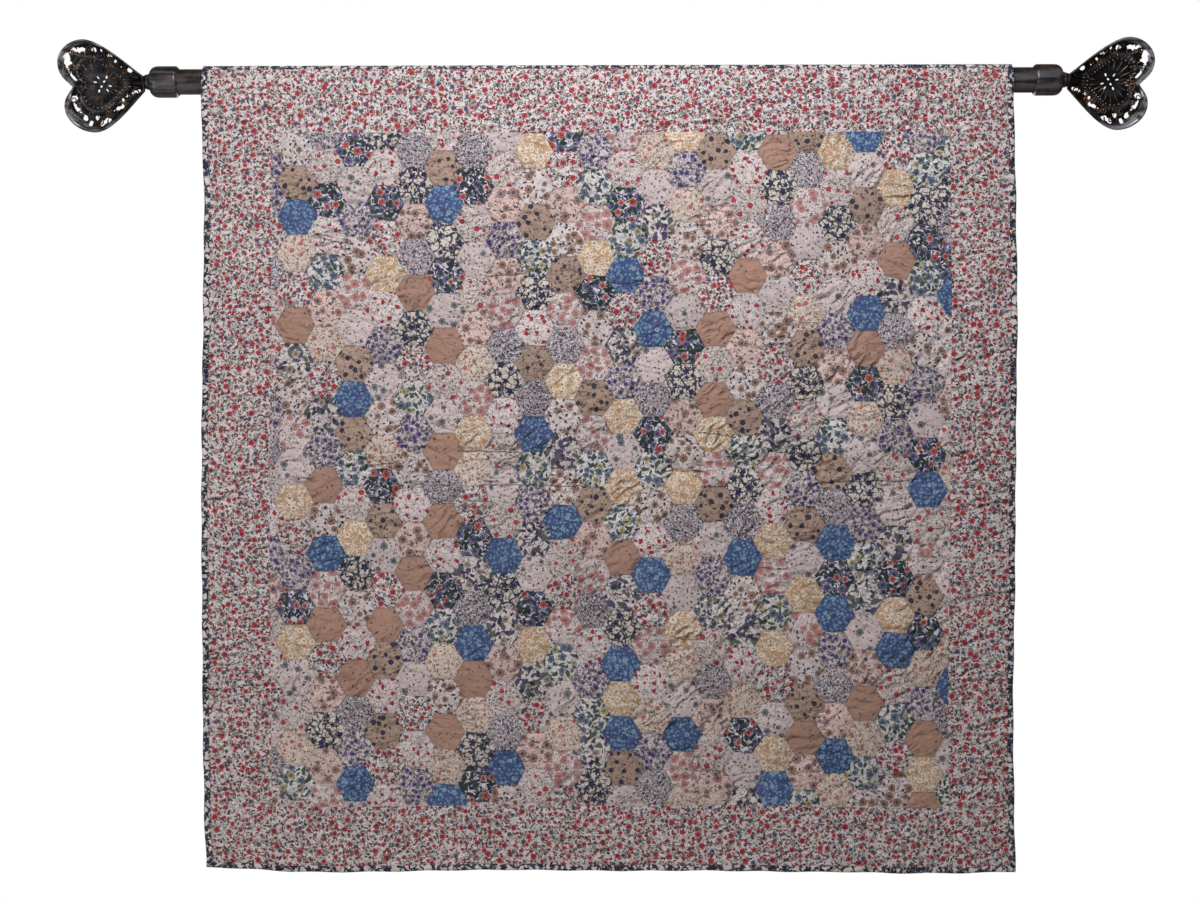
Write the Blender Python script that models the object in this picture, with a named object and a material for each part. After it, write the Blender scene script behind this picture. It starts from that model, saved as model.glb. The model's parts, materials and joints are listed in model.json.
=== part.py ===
"""Patchwork quilt on a rod, built as CAD solids.

The quilt is laid out flat first, as it is cut and sewn, and one function then hangs
every piece of it, so that the pieces stay the same small gap apart in every fold.
Flat sizes: u runs across from the middle of the rod, v drops from the quilt's top
edge, and w stands out from the middle of the cloth toward the viewer.
World axes: +X right, +Z up, and the quilt's face looks along -Y. The origin is on the
rod's axis, half way along it. Metres.
"""
import math
from collections import namedtuple

import bmesh
import bpy
from mathutils import Matrix, Vector
from mathutils.geometry import interpolate_bezier

# ------------------------------------------------------------------ driving sizes
GAP = 0.0003                  # between pieces that meet
SEAM_GAP = 0.0005             # round the patchwork, whose outline has other points

ROD_RADIUS = 0.016
ROUND_SIDES = 24              # sides of the rod and of its end sockets
ROD_HALF_LENGTH = 0.563       # of which the last 18 mm is inside the socket

SOCKET_MOUTH = 0.545          # from the middle of the rod
SOCKET_BORE = ROD_RADIUS + 0.0005
SOCKET_BORE_DEPTH = 0.0195
SocketRing = namedtuple("SocketRing", "out radius")
SOCKET_PROFILE = (            # from the mouth outwards, away from the quilt
    SocketRing(0.0000, 0.0182),
    SocketRing(0.0022, 0.0198),
    SocketRing(0.0260, 0.0198),
    SocketRing(0.0310, 0.0186),
    SocketRing(0.0345, 0.0156),
    SocketRing(0.0365, 0.0115),
    SocketRing(0.0380, 0.0098),
    SocketRing(0.0402, 0.0096),
)

HEART_THICKNESS = 0.0024
HEART_CENTRE = 0.058          # from the cut tip, along the heart
HEART_ROLL = math.radians(20) # the upper lobe leans toward the viewer
HEART_DROOP = math.radians(2)
HEART_DAISY = 0.022           # the flower in the middle is round
HeartArc = namedtuple("HeartArc", "start start_handle end_handle end steps")
HEART_SIDE = (                # half an outline: (along, across) from the tip to the notch
    HeartArc((0.000, 0.010), (0.016, 0.023), (0.050, 0.062), (0.074, 0.062), 7),
    HeartArc((0.074, 0.062), (0.093, 0.062), (0.111, 0.047), (0.111, 0.029), 6),
    HeartArc((0.111, 0.029), (0.111, 0.013), (0.101, 0.008), (0.0956, 0.000), 4),
)
HeartRing = namedtuple("HeartRing", "reach height")
HEART_RINGS = (               # share of the outline, and height toward the viewer
    HeartRing(0.26, 0.0000),
    HeartRing(0.54, 0.0014),
    HeartRing(0.60, -0.0006),
    HeartRing(0.80, 0.0000),
    HeartRing(0.87, 0.0040),
    HeartRing(0.95, 0.0110),
    HeartRing(1.00, 0.0085),
)
PIERCED_RING = 3              # the scrollwork band ends at this ring, and is pierced

QUILT_WIDTH = 1.027
STRAIGHT_DROP = 1.0045        # from the rod's axis to the hem
FRONT = 0.0012                # the cloth's face, at its seams
BACK = -0.0016                # the cloth's back
CROWN = 0.0016                # a patch stands this much over its seams
BORDER_PUFF = 0.0008

WRAP_RADIUS = 0.0197          # from the rod's axis to the middle of the cloth
WRAP_ANGLE = math.radians(58) # the top edge lies back over the rod
WRAP = WRAP_RADIUS * WRAP_ANGLE
QUILT_LENGTH = WRAP + STRAIGHT_DROP

BINDING = 0.008
BindingPoint = namedtuple("BindingPoint", "inward out")
BINDING_SECTION = (           # from the quilt's edge inwards, over the face and back
    BindingPoint(0.0000, 0.0004),
    BindingPoint(0.0012, 0.0020),
    BindingPoint(0.0042, 0.0026),
    BindingPoint(BINDING, 0.0022),
    BindingPoint(BINDING, -0.0014),
    BindingPoint(0.0042, -0.0017),
    BindingPoint(0.0010, -0.0013),
)

BORDER_LEFT = 0.0864          # borders, binding included
BORDER_RIGHT = 0.0826
BORDER_TOP = 0.0890
BORDER_BOTTOM = 0.0826

COLUMN_PITCH = 0.0378         # one inch hexagons, flat sides up and down
ROW_PITCH = 0.0447
FIRST_COLUMN = 0.0284         # from the field's left edge to the first patch's middle
FIRST_ROW = -0.0044           # from the field's top edge to an odd column's first patch
ROW_FALL = 0.00036            # rows fall this much a column to the right
COLUMN_LEAN = -0.00029        # columns lean this much a row to the left
COLUMNS = range(-1, 24)
ROWS = range(-1, 21)

SLEEVE_HALF_WIDTH = 0.486
SLEEVE_THICKNESS = 0.0012
SLEEVE_RADIUS = ROD_RADIUS + 0.0004 + SLEEVE_THICKNESS / 2
SLEEVE_START = math.radians(128)
SLEEVE_FOOT_TOP = 0.080       # below the rod's axis
SLEEVE_FOOT_END = 0.093
SLEEVE_SLACK = 0.0008

# ------------------------------------------------------------------ how it hangs
EdgeRow = namedtuple("EdgeRow", "at left right")
EDGE_ROWS = (                 # how far each side edge stands out, by drop from the top
    EdgeRow(0.000, -0.0012, 0.0014),
    EdgeRow(0.055, -0.0017, 0.0021),
    EdgeRow(0.185, -0.0050, 0.0044),
    EdgeRow(0.310, -0.0030, 0.0059),
    EdgeRow(0.465, -0.0004, 0.0047),
    EdgeRow(0.615, 0.0009, 0.0034),
    EdgeRow(0.820, 0.0009, 0.0009),
    EdgeRow(0.970, -0.0004, 0.0021),
    EdgeRow(1.030, -0.0028, 0.0034),
)
HemPoint = namedtuple("HemPoint", "at drop")
HEM_POINTS = (                # how much lower the hem hangs, across the quilt
    HemPoint(-0.514, -0.0040),
    HemPoint(-0.382, 0.0009),
    HemPoint(-0.128, -0.0012),
    HemPoint(0.063, 0.0010),
    HemPoint(0.285, 0.0028),
    HemPoint(0.380, 0.0046),
    HemPoint(0.443, 0.0040),
    HemPoint(0.514, 0.0020),
)
Wave = namedtuple("Wave", "across down height phase")
WAVES = (                     # slow waves in the hanging cloth, by their wavelengths
    Wave(0.66, 2.10, 0.0026, 0.4),
    Wave(0.29, 0.95, 0.0011, 2.0),
    Wave(-0.43, 0.37, 0.0008, 4.1),
)
Ripple = namedtuple("Ripple", "length height phase")
SIDE_RIPPLE = Ripple(0.083, 0.0005, 1.1)
END_RIPPLE = Ripple(0.071, 0.0005, 0.3)
Crease = namedtuple("Crease", "across drop to_across to_drop depth width")
CREASES = (                   # where the quilt was folded away, and drawn-in lines
    Crease(-0.411, 0.508, -0.130, 0.515, 0.0026, 0.013),
    Crease(-0.130, 0.515, 0.150, 0.510, 0.0028, 0.013),
    Crease(0.150, 0.510, 0.429, 0.518, 0.0026, 0.013),
    Crease(-0.263, 0.491, 0.042, 0.493, 0.0012, 0.009),
    Crease(-0.159, 0.534, -0.047, 0.535, 0.0012, 0.009),
    Crease(0.270, 0.535, 0.386, 0.537, 0.0012, 0.009),
    Crease(-0.259, 0.285, -0.262, 0.527, 0.0014, 0.012),
    Crease(-0.013, 0.090, -0.010, 0.936, 0.0018, 0.013),
    Crease(0.020, 0.458, 0.018, 0.718, 0.0012, 0.011),
    Crease(0.182, 0.457, 0.350, 0.406, 0.0014, 0.012),
    Crease(0.182, 0.466, 0.334, 0.544, 0.0014, 0.012),
)
LEVEL_DROP = 0.115            # the cloth is kept level behind the sleeve
FULL_DROP = 0.330             # from here down the waves are full
SWING_BACK = 0.011            # the hem hangs this much further back than the top


def ease(share):
    """A share from 0 to 1, with a soft start and end."""
    share = min(max(share, 0.0), 1.0)
    return share * share * (3.0 - 2.0 * share)


def read_table(rows, column, at):
    """A table's column at a place between its rows."""
    if at <= rows[0].at:
        return getattr(rows[0], column)
    for low, high in zip(rows, rows[1:]):
        if at <= high.at:
            share = ease((at - low.at) / (high.at - low.at))
            return getattr(low, column) * (1.0 - share) + getattr(high, column) * share
    return getattr(rows[-1], column)


def crease_depth(crease, u, v):
    """How deep one crease is at a place, soft across it and at its ends."""
    run = Vector((crease.to_across - crease.across, crease.to_drop - crease.drop))
    here = Vector((u - crease.across, v - crease.drop))
    along = here.dot(run) / run.length_squared
    nearest = run * min(max(along, 0.0), 1.0)
    return crease.depth * math.exp(-((here - nearest).length / crease.width) ** 2)


def fold_out(u, v):
    """How far waves and creases carry the cloth toward the viewer."""
    waves = sum(
        wave.height * math.sin(2.0 * math.pi * (u / wave.across + v / wave.down) + wave.phase)
        for wave in WAVES
    )
    creases = sum(crease_depth(crease, u, v) for crease in CREASES)
    fade = ease((v - LEVEL_DROP) / (FULL_DROP - LEVEL_DROP))
    swing = SWING_BACK * ease((v - LEVEL_DROP) / (QUILT_LENGTH - LEVEL_DROP))
    return fade * waves - creases - swing


def ripple(row, along, inside):
    """The small unevenness of a sewn edge, gone within a border's width of it."""
    swing = math.sin(2 * math.pi * along / row.length + row.phase)
    return row.height * swing * ease(1.0 - inside / BORDER_BOTTOM)


def drape(u, v, w):
    """Hang a point of the flat quilt: over the rod, down, and into its folds."""
    half = QUILT_WIDTH / 2
    left = half + read_table(EDGE_ROWS, "left", v)
    right = half + read_table(EDGE_ROWS, "right", v)
    x = -left + (u + half) / QUILT_WIDTH * (left + right) + ripple(SIDE_RIPPLE, v, half - abs(u))
    if v < WRAP:
        angle = (WRAP - v) / WRAP_RADIUS
        radius = WRAP_RADIUS + w
        return Vector((x, -radius * math.cos(angle), radius * math.sin(angle)))
    share = (v - WRAP) / STRAIGHT_DROP
    low = read_table(HEM_POINTS, "drop", u) * share * share
    low += ripple(END_RIPPLE, u, QUILT_LENGTH - v)
    return Vector((x, -WRAP_RADIUS - w - fold_out(u, v), -(v - WRAP) - low))


# ------------------------------------------------------------------ helpers
def clear_scene():
    for thing in list(bpy.data.objects):
        bpy.data.objects.remove(thing, do_unlink=True)


def material(name, colour, roughness, metallic=0.0):
    made = bpy.data.materials.new(name)
    made.use_nodes = True
    shader = made.node_tree.nodes["Principled BSDF"]
    shader.inputs["Base Color"].default_value = (*colour, 1.0)
    shader.inputs["Roughness"].default_value = roughness
    shader.inputs["Metallic"].default_value = metallic
    return made


def finish_solid(name, shape, finish, smooth_angle=None):
    """Turn a closed shape into a named object with its faces pointing out."""
    bmesh.ops.triangulate(shape, faces=shape.faces)
    bmesh.ops.recalc_face_normals(shape, faces=shape.faces)
    if shape.calc_volume(signed=True) < 0.0:
        bmesh.ops.reverse_faces(shape, faces=shape.faces)
    mesh = bpy.data.meshes.new(name)
    shape.to_mesh(mesh)
    shape.free()
    if smooth_angle is not None:
        mesh.shade_smooth()
        mesh.set_sharp_from_angle(angle=smooth_angle)
    made = bpy.data.objects.new(name, mesh)
    bpy.context.scene.collection.objects.link(made)
    made.data.materials.append(finish)
    return made


def steps_between(start, end, longest):
    """Evenly spaced places from start to end, no further apart than longest."""
    count = max(1, math.ceil((end - start) / longest - 1e-6))
    return [start + (end - start) * index / count for index in range(count + 1)]


def joined_steps(*stretches):
    """Places along several stretches of (start, end, longest step), each place once."""
    places = []
    for start, end, longest in stretches:
        places.extend(steps_between(start, end, longest)[:-1])
    return places + [stretches[-1][1]]


def within(places, start, end):
    return [place for place in places if start - 1e-7 <= place <= end + 1e-7]


def flat_sheet(across, down):
    """A sheet in the flat, from its places across and down."""
    shape = bmesh.new()
    rows = [[shape.verts.new((u, v, 0.0)) for u in across] for v in down]
    for upper, lower in zip(rows, rows[1:]):
        for index in range(len(across) - 1):
            shape.faces.new((upper[index], upper[index + 1], lower[index + 1], lower[index]))
    return shape


def cut_away(shape, point, outward):
    """Cut the flat sheet along a line, and drop the side that outward points to."""
    bmesh.ops.bisect_plane(
        shape,
        geom=shape.verts[:] + shape.edges[:] + shape.faces[:],
        dist=1e-6,
        plane_co=(point[0], point[1], 0.0),
        plane_no=(outward[0], outward[1], 0.0),
        clear_outer=True,
    )


def thicken(shape, face_height):
    """Give a flat sheet its back, and lift its face by face_height(u, v)."""
    faces = shape.faces[:]
    made = bmesh.ops.extrude_face_region(shape, geom=faces)
    back = {item for item in made["geom"] if isinstance(item, bmesh.types.BMVert)}
    for vert in shape.verts:
        vert.co.z = BACK if vert in back else face_height(vert.co.x, vert.co.y)


def hang(shape):
    for vert in shape.verts:
        vert.co = drape(*vert.co)


# ------------------------------------------------------------------ the flat layout
HALF_WIDTH = QUILT_WIDTH / 2
FIELD_LEFT = -HALF_WIDTH + BORDER_LEFT
FIELD_RIGHT = HALF_WIDTH - BORDER_RIGHT
FIELD_TOP = BORDER_TOP
FIELD_BOTTOM = QUILT_LENGTH - BORDER_BOTTOM
RIM = BINDING + GAP           # the borders start this far in from the quilt's edge
TURN = WRAP + 0.006           # the cloth is straight from here down
FINE_STEP = 0.0052            # over the rod
STEP = 0.036                  # elsewhere
ACROSS = joined_steps(        # pieces that meet share these places, so their folds match
    (-HALF_WIDTH, RIM - HALF_WIDTH, STEP),
    (RIM - HALF_WIDTH, FIELD_LEFT - SEAM_GAP, STEP),
    (FIELD_LEFT - SEAM_GAP, FIELD_RIGHT + SEAM_GAP, STEP),
    (FIELD_RIGHT + SEAM_GAP, HALF_WIDTH - RIM, STEP),
    (HALF_WIDTH - RIM, HALF_WIDTH, STEP),
)
DOWN = joined_steps(
    (0.0, RIM, FINE_STEP),
    (RIM, TURN, FINE_STEP),
    (TURN, FIELD_TOP - SEAM_GAP, STEP),
    (FIELD_TOP - SEAM_GAP, FIELD_BOTTOM + SEAM_GAP, STEP),
    (FIELD_BOTTOM + SEAM_GAP, QUILT_LENGTH - RIM, STEP),
    (QUILT_LENGTH - RIM, QUILT_LENGTH, STEP),
)


# ------------------------------------------------------------------ the patchwork

def lattice_point(column, row):
    """A place in the flat, counted in columns and rows of hexagons."""
    u = FIELD_LEFT + FIRST_COLUMN + COLUMN_PITCH * column + COLUMN_LEAN * row
    v = FIELD_TOP + FIRST_ROW + ROW_PITCH * row + ROW_FALL * column
    return u, v


def patch_middle(column, row):
    """Even columns sit half a patch lower than odd ones."""
    return (column, row + 0.5) if column % 2 == 0 else (column, row)


HEX_CORNERS = ((2 / 3, 0.0), (1 / 3, 0.5), (-1 / 3, 0.5), (-2 / 3, 0.0), (-1 / 3, -0.5), (1 / 3, -0.5))


def patch_faces(shape, column, row):
    """One hexagon as a fan of six, its middle raised to the crown."""
    middle = patch_middle(column, row)
    u, v = lattice_point(*middle)
    crown = shape.verts.new((u, v, FRONT + CROWN))
    corners = []
    for column_step, row_step in HEX_CORNERS:
        u, v = lattice_point(middle[0] + column_step, middle[1] + row_step)
        corners.append(shape.verts.new((u, v, FRONT)))
    for first, second in zip(corners, corners[1:] + corners[:1]):
        shape.faces.new((crown, first, second))


def way_round(u, v, box):
    """How far round a box's outline a point is, from its top left corner."""
    left, top, right, bottom = box
    width, height = right - left, bottom - top
    sides = (
        (abs(v - top), u - left),
        (abs(u - right), width + v - top),
        (abs(v - bottom), width + height + right - u),
        (abs(u - left), 2 * width + height + bottom - v),
    )
    return min(sides)[1] % (2 * (width + height))


def outline(shape, verts, box):
    """The outline's points of a sheet, in order round its box."""
    edge = [vert for vert in verts if any(len(link.link_faces) == 1 for link in vert.link_edges)]
    return sorted(edge, key=lambda vert: way_round(vert.co.x, vert.co.y, box))


def close_sides(shape, face_loop, back_loop, box):
    """Join two outlines that have different points, taking the nearer next point."""
    around = 2 * (box[2] - box[0] + box[3] - box[1])
    face_at = [way_round(vert.co.x, vert.co.y, box) for vert in face_loop] + [around]
    back_at = [way_round(vert.co.x, vert.co.y, box) for vert in back_loop] + [around]
    here, there = 0, 0
    while here < len(face_loop) or there < len(back_loop):
        face_vert = face_loop[here % len(face_loop)]
        back_vert = back_loop[there % len(back_loop)]
        face_is_next = there >= len(back_loop) or (
            here < len(face_loop) and face_at[here + 1] <= back_at[there + 1]
        )
        if face_is_next:
            here += 1
            shape.faces.new((face_vert, face_loop[here % len(face_loop)], back_vert))
        else:
            there += 1
            shape.faces.new((face_vert, back_loop[there % len(back_loop)], back_vert))


def build_patchwork(finish):
    """Every hexagon in one sheet, cut straight by the borders, on a plain back."""
    box = (FIELD_LEFT, FIELD_TOP, FIELD_RIGHT, FIELD_BOTTOM)
    left, top, right, bottom = box
    shape = bmesh.new()
    for column in COLUMNS:
        for row in ROWS:
            patch_faces(shape, column, row)
    bmesh.ops.remove_doubles(shape, verts=shape.verts, dist=1e-5)
    cut_away(shape, (left, top), (-1, 0))
    cut_away(shape, (right, top), (1, 0))
    cut_away(shape, (left, top), (0, -1))
    cut_away(shape, (left, bottom), (0, 1))
    bmesh.ops.dissolve_degenerate(shape, edges=shape.edges, dist=0.0006)
    face_loop = outline(shape, shape.verts[:], box)
    across = steps_between(left, right, STEP)
    down = steps_between(top, bottom, STEP)
    rows = [[shape.verts.new((u, v, BACK)) for u in across] for v in down]
    back = []
    for upper, lower in zip(rows, rows[1:]):
        for index in range(len(across) - 1):
            shape.faces.new((upper[index], lower[index], lower[index + 1], upper[index + 1]))
    for row in rows:
        back.extend(row)
    close_sides(shape, face_loop, outline(shape, back, box), box)
    hang(shape)
    return finish_solid("patchwork", shape, finish)


# ------------------------------------------------------------------ borders and binding
def build_border(name, box, mitres, finish):
    """One strip of the border, its ends cut on the corner's diagonal."""
    left, top, right, bottom = box
    shape = flat_sheet(within(ACROSS, left, right), within(DOWN, top, bottom))
    for point, outward in mitres:
        cut_away(shape, point, outward)
    short = min(right - left, bottom - top)

    def face_height(u, v):
        inside = min(u - left, right - u, v - top, bottom - v)
        return FRONT + 0.0004 + BORDER_PUFF * ease(inside / (short / 2))

    thicken(shape, face_height)
    hang(shape)
    return finish_solid(name, shape, finish)


def build_borders(finish):
    left, right = RIM - HALF_WIDTH, HALF_WIDTH - RIM
    top, bottom = RIM, QUILT_LENGTH - RIM
    inner_left, inner_right = FIELD_LEFT - SEAM_GAP, FIELD_RIGHT + SEAM_GAP
    inner_top, inner_bottom = FIELD_TOP - SEAM_GAP, FIELD_BOTTOM + SEAM_GAP

    def mitre(outer, inner, outward_sign):
        """The diagonal from an outer corner to an inner one, half a gap back."""
        run = Vector(inner) - Vector(outer)
        normal = Vector((run.y, -run.x)).normalized() * outward_sign
        point = Vector(outer) - normal * GAP / 2
        return (tuple(point), tuple(normal))

    top_left = ((left, top), (inner_left, inner_top))
    top_right = ((right, top), (inner_right, inner_top))
    low_left = ((left, bottom), (inner_left, inner_bottom))
    low_right = ((right, bottom), (inner_right, inner_bottom))
    build_border("border_top", (left, top, right, inner_top),
                 (mitre(*top_left, -1), mitre(*top_right, 1)), finish)
    build_border("border_bottom", (left, inner_bottom, right, bottom),
                 (mitre(*low_left, 1), mitre(*low_right, -1)), finish)
    build_border("border_left", (left, top, inner_left, bottom),
                 (mitre(*top_left, 1), mitre(*low_left, -1)), finish)
    build_border("border_right", (inner_right, top, right, bottom),
                 (mitre(*top_right, -1), mitre(*low_right, 1)), finish)


def build_binding(name, side, finish):
    """A folded strip over one edge: its section swept along, mitred at both ends."""
    upright = side in ("left", "right")
    places = DOWN if upright else ACROSS
    first, last = places[0], places[-1]
    mitre_end = BINDING + 2 * GAP
    places = [first] + within(places, first + mitre_end, last - mitre_end) + [last]
    shape = bmesh.new()
    loops = []
    for place in places:
        loop = []
        for point in BINDING_SECTION:
            short = point.inward + GAP / 2
            along = min(max(place, first + short), last - short)
            if upright:
                edge = point.inward - HALF_WIDTH if side == "left" else HALF_WIDTH - point.inward
                flat = (edge, along, point.out)
            else:
                edge = point.inward if side == "top" else QUILT_LENGTH - point.inward
                flat = (along, edge, point.out)
            loop.append(shape.verts.new(flat))
        loops.append(loop)
    for near, far in zip(loops, loops[1:]):
        for index in range(len(near)):
            after = (index + 1) % len(near)
            shape.faces.new((near[index], near[after], far[after], far[index]))
    shape.faces.new(loops[0])
    shape.faces.new(loops[-1])
    bmesh.ops.remove_doubles(shape, verts=shape.verts, dist=1e-6)
    hang(shape)
    return finish_solid(name, shape, finish, math.radians(40))


# ------------------------------------------------------------------ the hanging sleeve
def sleeve_path():
    """The strip's middle line, as (y, z): over the rod, down its back, to the quilt."""
    path = []
    turns = 9
    for index in range(turns + 1):
        angle = SLEEVE_START * (1.0 - index / turns)
        path.append((-SLEEVE_RADIUS * math.cos(math.pi - angle), SLEEVE_RADIUS * math.sin(angle)))
    start = Vector((SLEEVE_RADIUS, 0.0))
    end = Vector((-SLEEVE_RADIUS, -SLEEVE_FOOT_TOP))
    curve = interpolate_bezier(start, start - Vector((0, 0.030)), end + Vector((0, 0.030)), end, 7)
    path.extend((point.x, point.y) for point in curve[1:])
    path.append((-SLEEVE_RADIUS, -SLEEVE_FOOT_END))
    return path


def build_sleeve(finish):
    """The strip sewn to the back, which makes the channel that the rod runs in."""
    path = sleeve_path()
    shape = bmesh.new()
    columns = []
    for x in steps_between(-SLEEVE_HALF_WIDTH, SLEEVE_HALF_WIDTH, 0.082):
        column = []
        for y, z in path:
            loose = ease(-z / 0.03) * ease((z + SLEEVE_FOOT_TOP) / 0.03)
            slack = SLEEVE_SLACK * loose * math.sin(2 * math.pi * x / 0.31)
            column.append(shape.verts.new((x, y + slack, z)))
        columns.append(column)
    for near, far in zip(columns, columns[1:]):
        for index in range(len(path) - 1):
            shape.faces.new((near[index], near[index + 1], far[index + 1], far[index]))
    made = finish_solid("hanging_sleeve", shape, finish)
    solid = made.modifiers.new("thickness", 'SOLIDIFY')
    solid.thickness = SLEEVE_THICKNESS
    solid.offset = 0.0
    solid.use_even_offset = True
    return made


# ------------------------------------------------------------------ rod, sockets and hearts
def turned(profile, side):
    """Spin a closed profile of (out, radius) about the rod's axis, on one side of it."""
    shape = bmesh.new()
    ring = [shape.verts.new((side * out, 0.0, radius)) for out, radius in profile]
    edges = [shape.edges.new(pair) for pair in zip(ring, ring[1:])]
    bmesh.ops.spin(shape, geom=ring + edges, cent=(0, 0, 0), axis=(1, 0, 0),
                   angle=2 * math.pi, steps=ROUND_SIDES, use_merge=True)
    bmesh.ops.remove_doubles(shape, verts=shape.verts, dist=1e-6)
    return shape


def build_rod(finish):
    profile = [(-ROD_HALF_LENGTH, 0.0), (-ROD_HALF_LENGTH, ROD_RADIUS),
               (ROD_HALF_LENGTH, ROD_RADIUS), (ROD_HALF_LENGTH, 0.0)]
    return finish_solid("rod", turned(profile, 1), finish, math.radians(40))


def build_socket(name, side, finish):
    """A cup that slips over the rod's end, rounded to a neck for the heart."""
    profile = [(SOCKET_MOUTH + SOCKET_BORE_DEPTH, 0.0),
               (SOCKET_MOUTH + SOCKET_BORE_DEPTH, SOCKET_BORE), (SOCKET_MOUTH, SOCKET_BORE)]
    profile += [(SOCKET_MOUTH + ring.out, ring.radius) for ring in SOCKET_PROFILE]
    profile.append((SOCKET_MOUTH + SOCKET_PROFILE[-1].out, 0.0))
    return finish_solid(name, turned(profile, side), finish, math.radians(35))


def heart_outline():
    """Points round the heart, from its cut tip up one side and down the other."""
    half = []
    for arc in HEART_SIDE:
        points = interpolate_bezier(Vector(arc.start), Vector(arc.start_handle),
                                    Vector(arc.end_handle), Vector(arc.end), arc.steps + 1)
        half.extend(points[:-1])
    half.append(Vector(HEART_SIDE[-1].end))
    other = [Vector((point.x, -point.y)) for point in reversed(half[:-1])]
    return half + other


def build_heart(name, side, finish):
    """A dished heart with a raised rim and a pierced band round a plain boss."""
    rim = heart_outline()
    centre = Vector((HEART_CENTRE, 0.0))
    shape = bmesh.new()
    rings = []
    for ring in HEART_RINGS:
        loop = []
        for point in rim:
            reach = (point - centre) * ring.reach
            round_share = ease((HEART_RINGS[1].reach - ring.reach) / HEART_RINGS[1].reach)
            round_point = reach.normalized() * HEART_DAISY
            place = centre + reach.lerp(round_point, round_share)
            loop.append(shape.verts.new((place.x, -ring.height, place.y)))
        rings.append(loop)
    middle = shape.verts.new((HEART_CENTRE, 0.0, 0.0))
    count = len(rim)
    for index in range(count):
        after = (index + 1) % count
        shape.faces.new((middle, rings[0][index], rings[0][after]))
        for step in range(1, len(rings)):
            is_hole = step == PIERCED_RING and index % 2 == 1 and index < count - 1
            if not is_hole:
                inner, outer = rings[step - 1], rings[step]
                shape.faces.new((inner[index], outer[index], outer[after], inner[after]))
    made = bmesh.ops.extrude_face_region(shape, geom=shape.faces[:])
    back = [item for item in made["geom"] if isinstance(item, bmesh.types.BMVert)]
    bmesh.ops.translate(shape, verts=back, vec=(0.0, HEART_THICKNESS, 0.0))
    root = SOCKET_MOUTH + SOCKET_PROFILE[-1].out + 2 * GAP
    place = Matrix.Translation((side * root, 0.0, 0.0))
    mirror = Matrix.Diagonal((side, 1.0, 1.0, 1.0))
    droop = Matrix.Rotation(HEART_DROOP, 4, 'Y')
    roll = Matrix.Rotation(HEART_ROLL, 4, 'X')
    bmesh.ops.transform(shape, matrix=place @ mirror @ roll @ droop, verts=shape.verts)
    return finish_solid(name, shape, finish, math.radians(40))


# ------------------------------------------------------------------ build it all
clear_scene()
patch_cotton = material("patch_cotton", (0.52, 0.44, 0.44), 0.9)
border_cotton = material("border_cotton", (0.56, 0.42, 0.42), 0.9)
binding_cotton = material("binding_cotton", (0.30, 0.29, 0.34), 0.9)
calico = material("calico", (0.72, 0.66, 0.56), 0.9)
iron = material("aged_iron", (0.03, 0.028, 0.028), 0.45, 0.9)

build_patchwork(patch_cotton)
build_borders(border_cotton)
for edge_side in ("top", "right", "bottom", "left"):
    build_binding("binding_" + edge_side, edge_side, binding_cotton)
build_sleeve(calico)
build_rod(iron)
for end_side, word in ((-1, "left"), (1, "right")):
    build_socket("socket_" + word, end_side, iron)
    build_heart("heart_" + word, end_side, iron)

for built in bpy.context.scene.objects:
    print(built.name, len(built.data.polygons), "triangles before modifiers")
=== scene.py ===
# %% [markdown]
# # A patchwork quilt hung from an iron rod
# The solid model of the quilt, its rod and its hearts is loaded first, and stays where it
# is. Every piece made below is laid over one of its solids, so sizes come from it.

# %% Load the model
import json
import math
import random
from collections import namedtuple

import bmesh
import bpy
import numpy as np
from mathutils import Matrix, Vector, noise
from mathutils.geometry import interpolate_bezier

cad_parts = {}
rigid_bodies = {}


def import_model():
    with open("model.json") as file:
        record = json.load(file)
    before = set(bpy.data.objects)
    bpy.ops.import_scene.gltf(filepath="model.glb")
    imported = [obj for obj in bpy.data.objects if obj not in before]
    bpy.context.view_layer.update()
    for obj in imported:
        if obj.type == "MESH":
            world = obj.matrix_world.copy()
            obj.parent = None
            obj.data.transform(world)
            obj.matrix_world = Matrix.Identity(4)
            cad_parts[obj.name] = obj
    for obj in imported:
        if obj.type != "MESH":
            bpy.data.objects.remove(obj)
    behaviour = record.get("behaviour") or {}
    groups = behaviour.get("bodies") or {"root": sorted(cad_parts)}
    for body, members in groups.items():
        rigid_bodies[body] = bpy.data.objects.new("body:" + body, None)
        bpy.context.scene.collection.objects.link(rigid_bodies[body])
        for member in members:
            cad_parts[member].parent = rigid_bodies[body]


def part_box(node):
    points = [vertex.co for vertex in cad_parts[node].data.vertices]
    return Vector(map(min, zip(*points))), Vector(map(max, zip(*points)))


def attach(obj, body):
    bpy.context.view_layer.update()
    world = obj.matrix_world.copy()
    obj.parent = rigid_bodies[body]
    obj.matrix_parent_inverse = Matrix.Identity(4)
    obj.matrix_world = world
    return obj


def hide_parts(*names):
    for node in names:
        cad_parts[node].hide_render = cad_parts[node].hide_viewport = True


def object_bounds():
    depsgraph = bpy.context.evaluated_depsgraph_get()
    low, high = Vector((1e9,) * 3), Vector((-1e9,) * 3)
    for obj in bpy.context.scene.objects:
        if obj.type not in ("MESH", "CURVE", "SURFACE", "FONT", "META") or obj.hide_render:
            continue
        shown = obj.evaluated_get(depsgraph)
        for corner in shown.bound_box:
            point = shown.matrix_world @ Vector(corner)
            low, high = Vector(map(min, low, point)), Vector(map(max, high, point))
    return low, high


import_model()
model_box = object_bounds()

for loaded in bpy.data.objects:
    loaded.select_set(False)
print("model box:", [[round(side, 3) for side in corner] for corner in model_box])

# %% [markdown]
# A quilt is cut and sewn flat, then hung. So each piece is first laid out flat: u runs
# across, v drops from the top edge, and w stands out of the cloth toward the viewer.
# These are the same sizes that the solids were built from.

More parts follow.
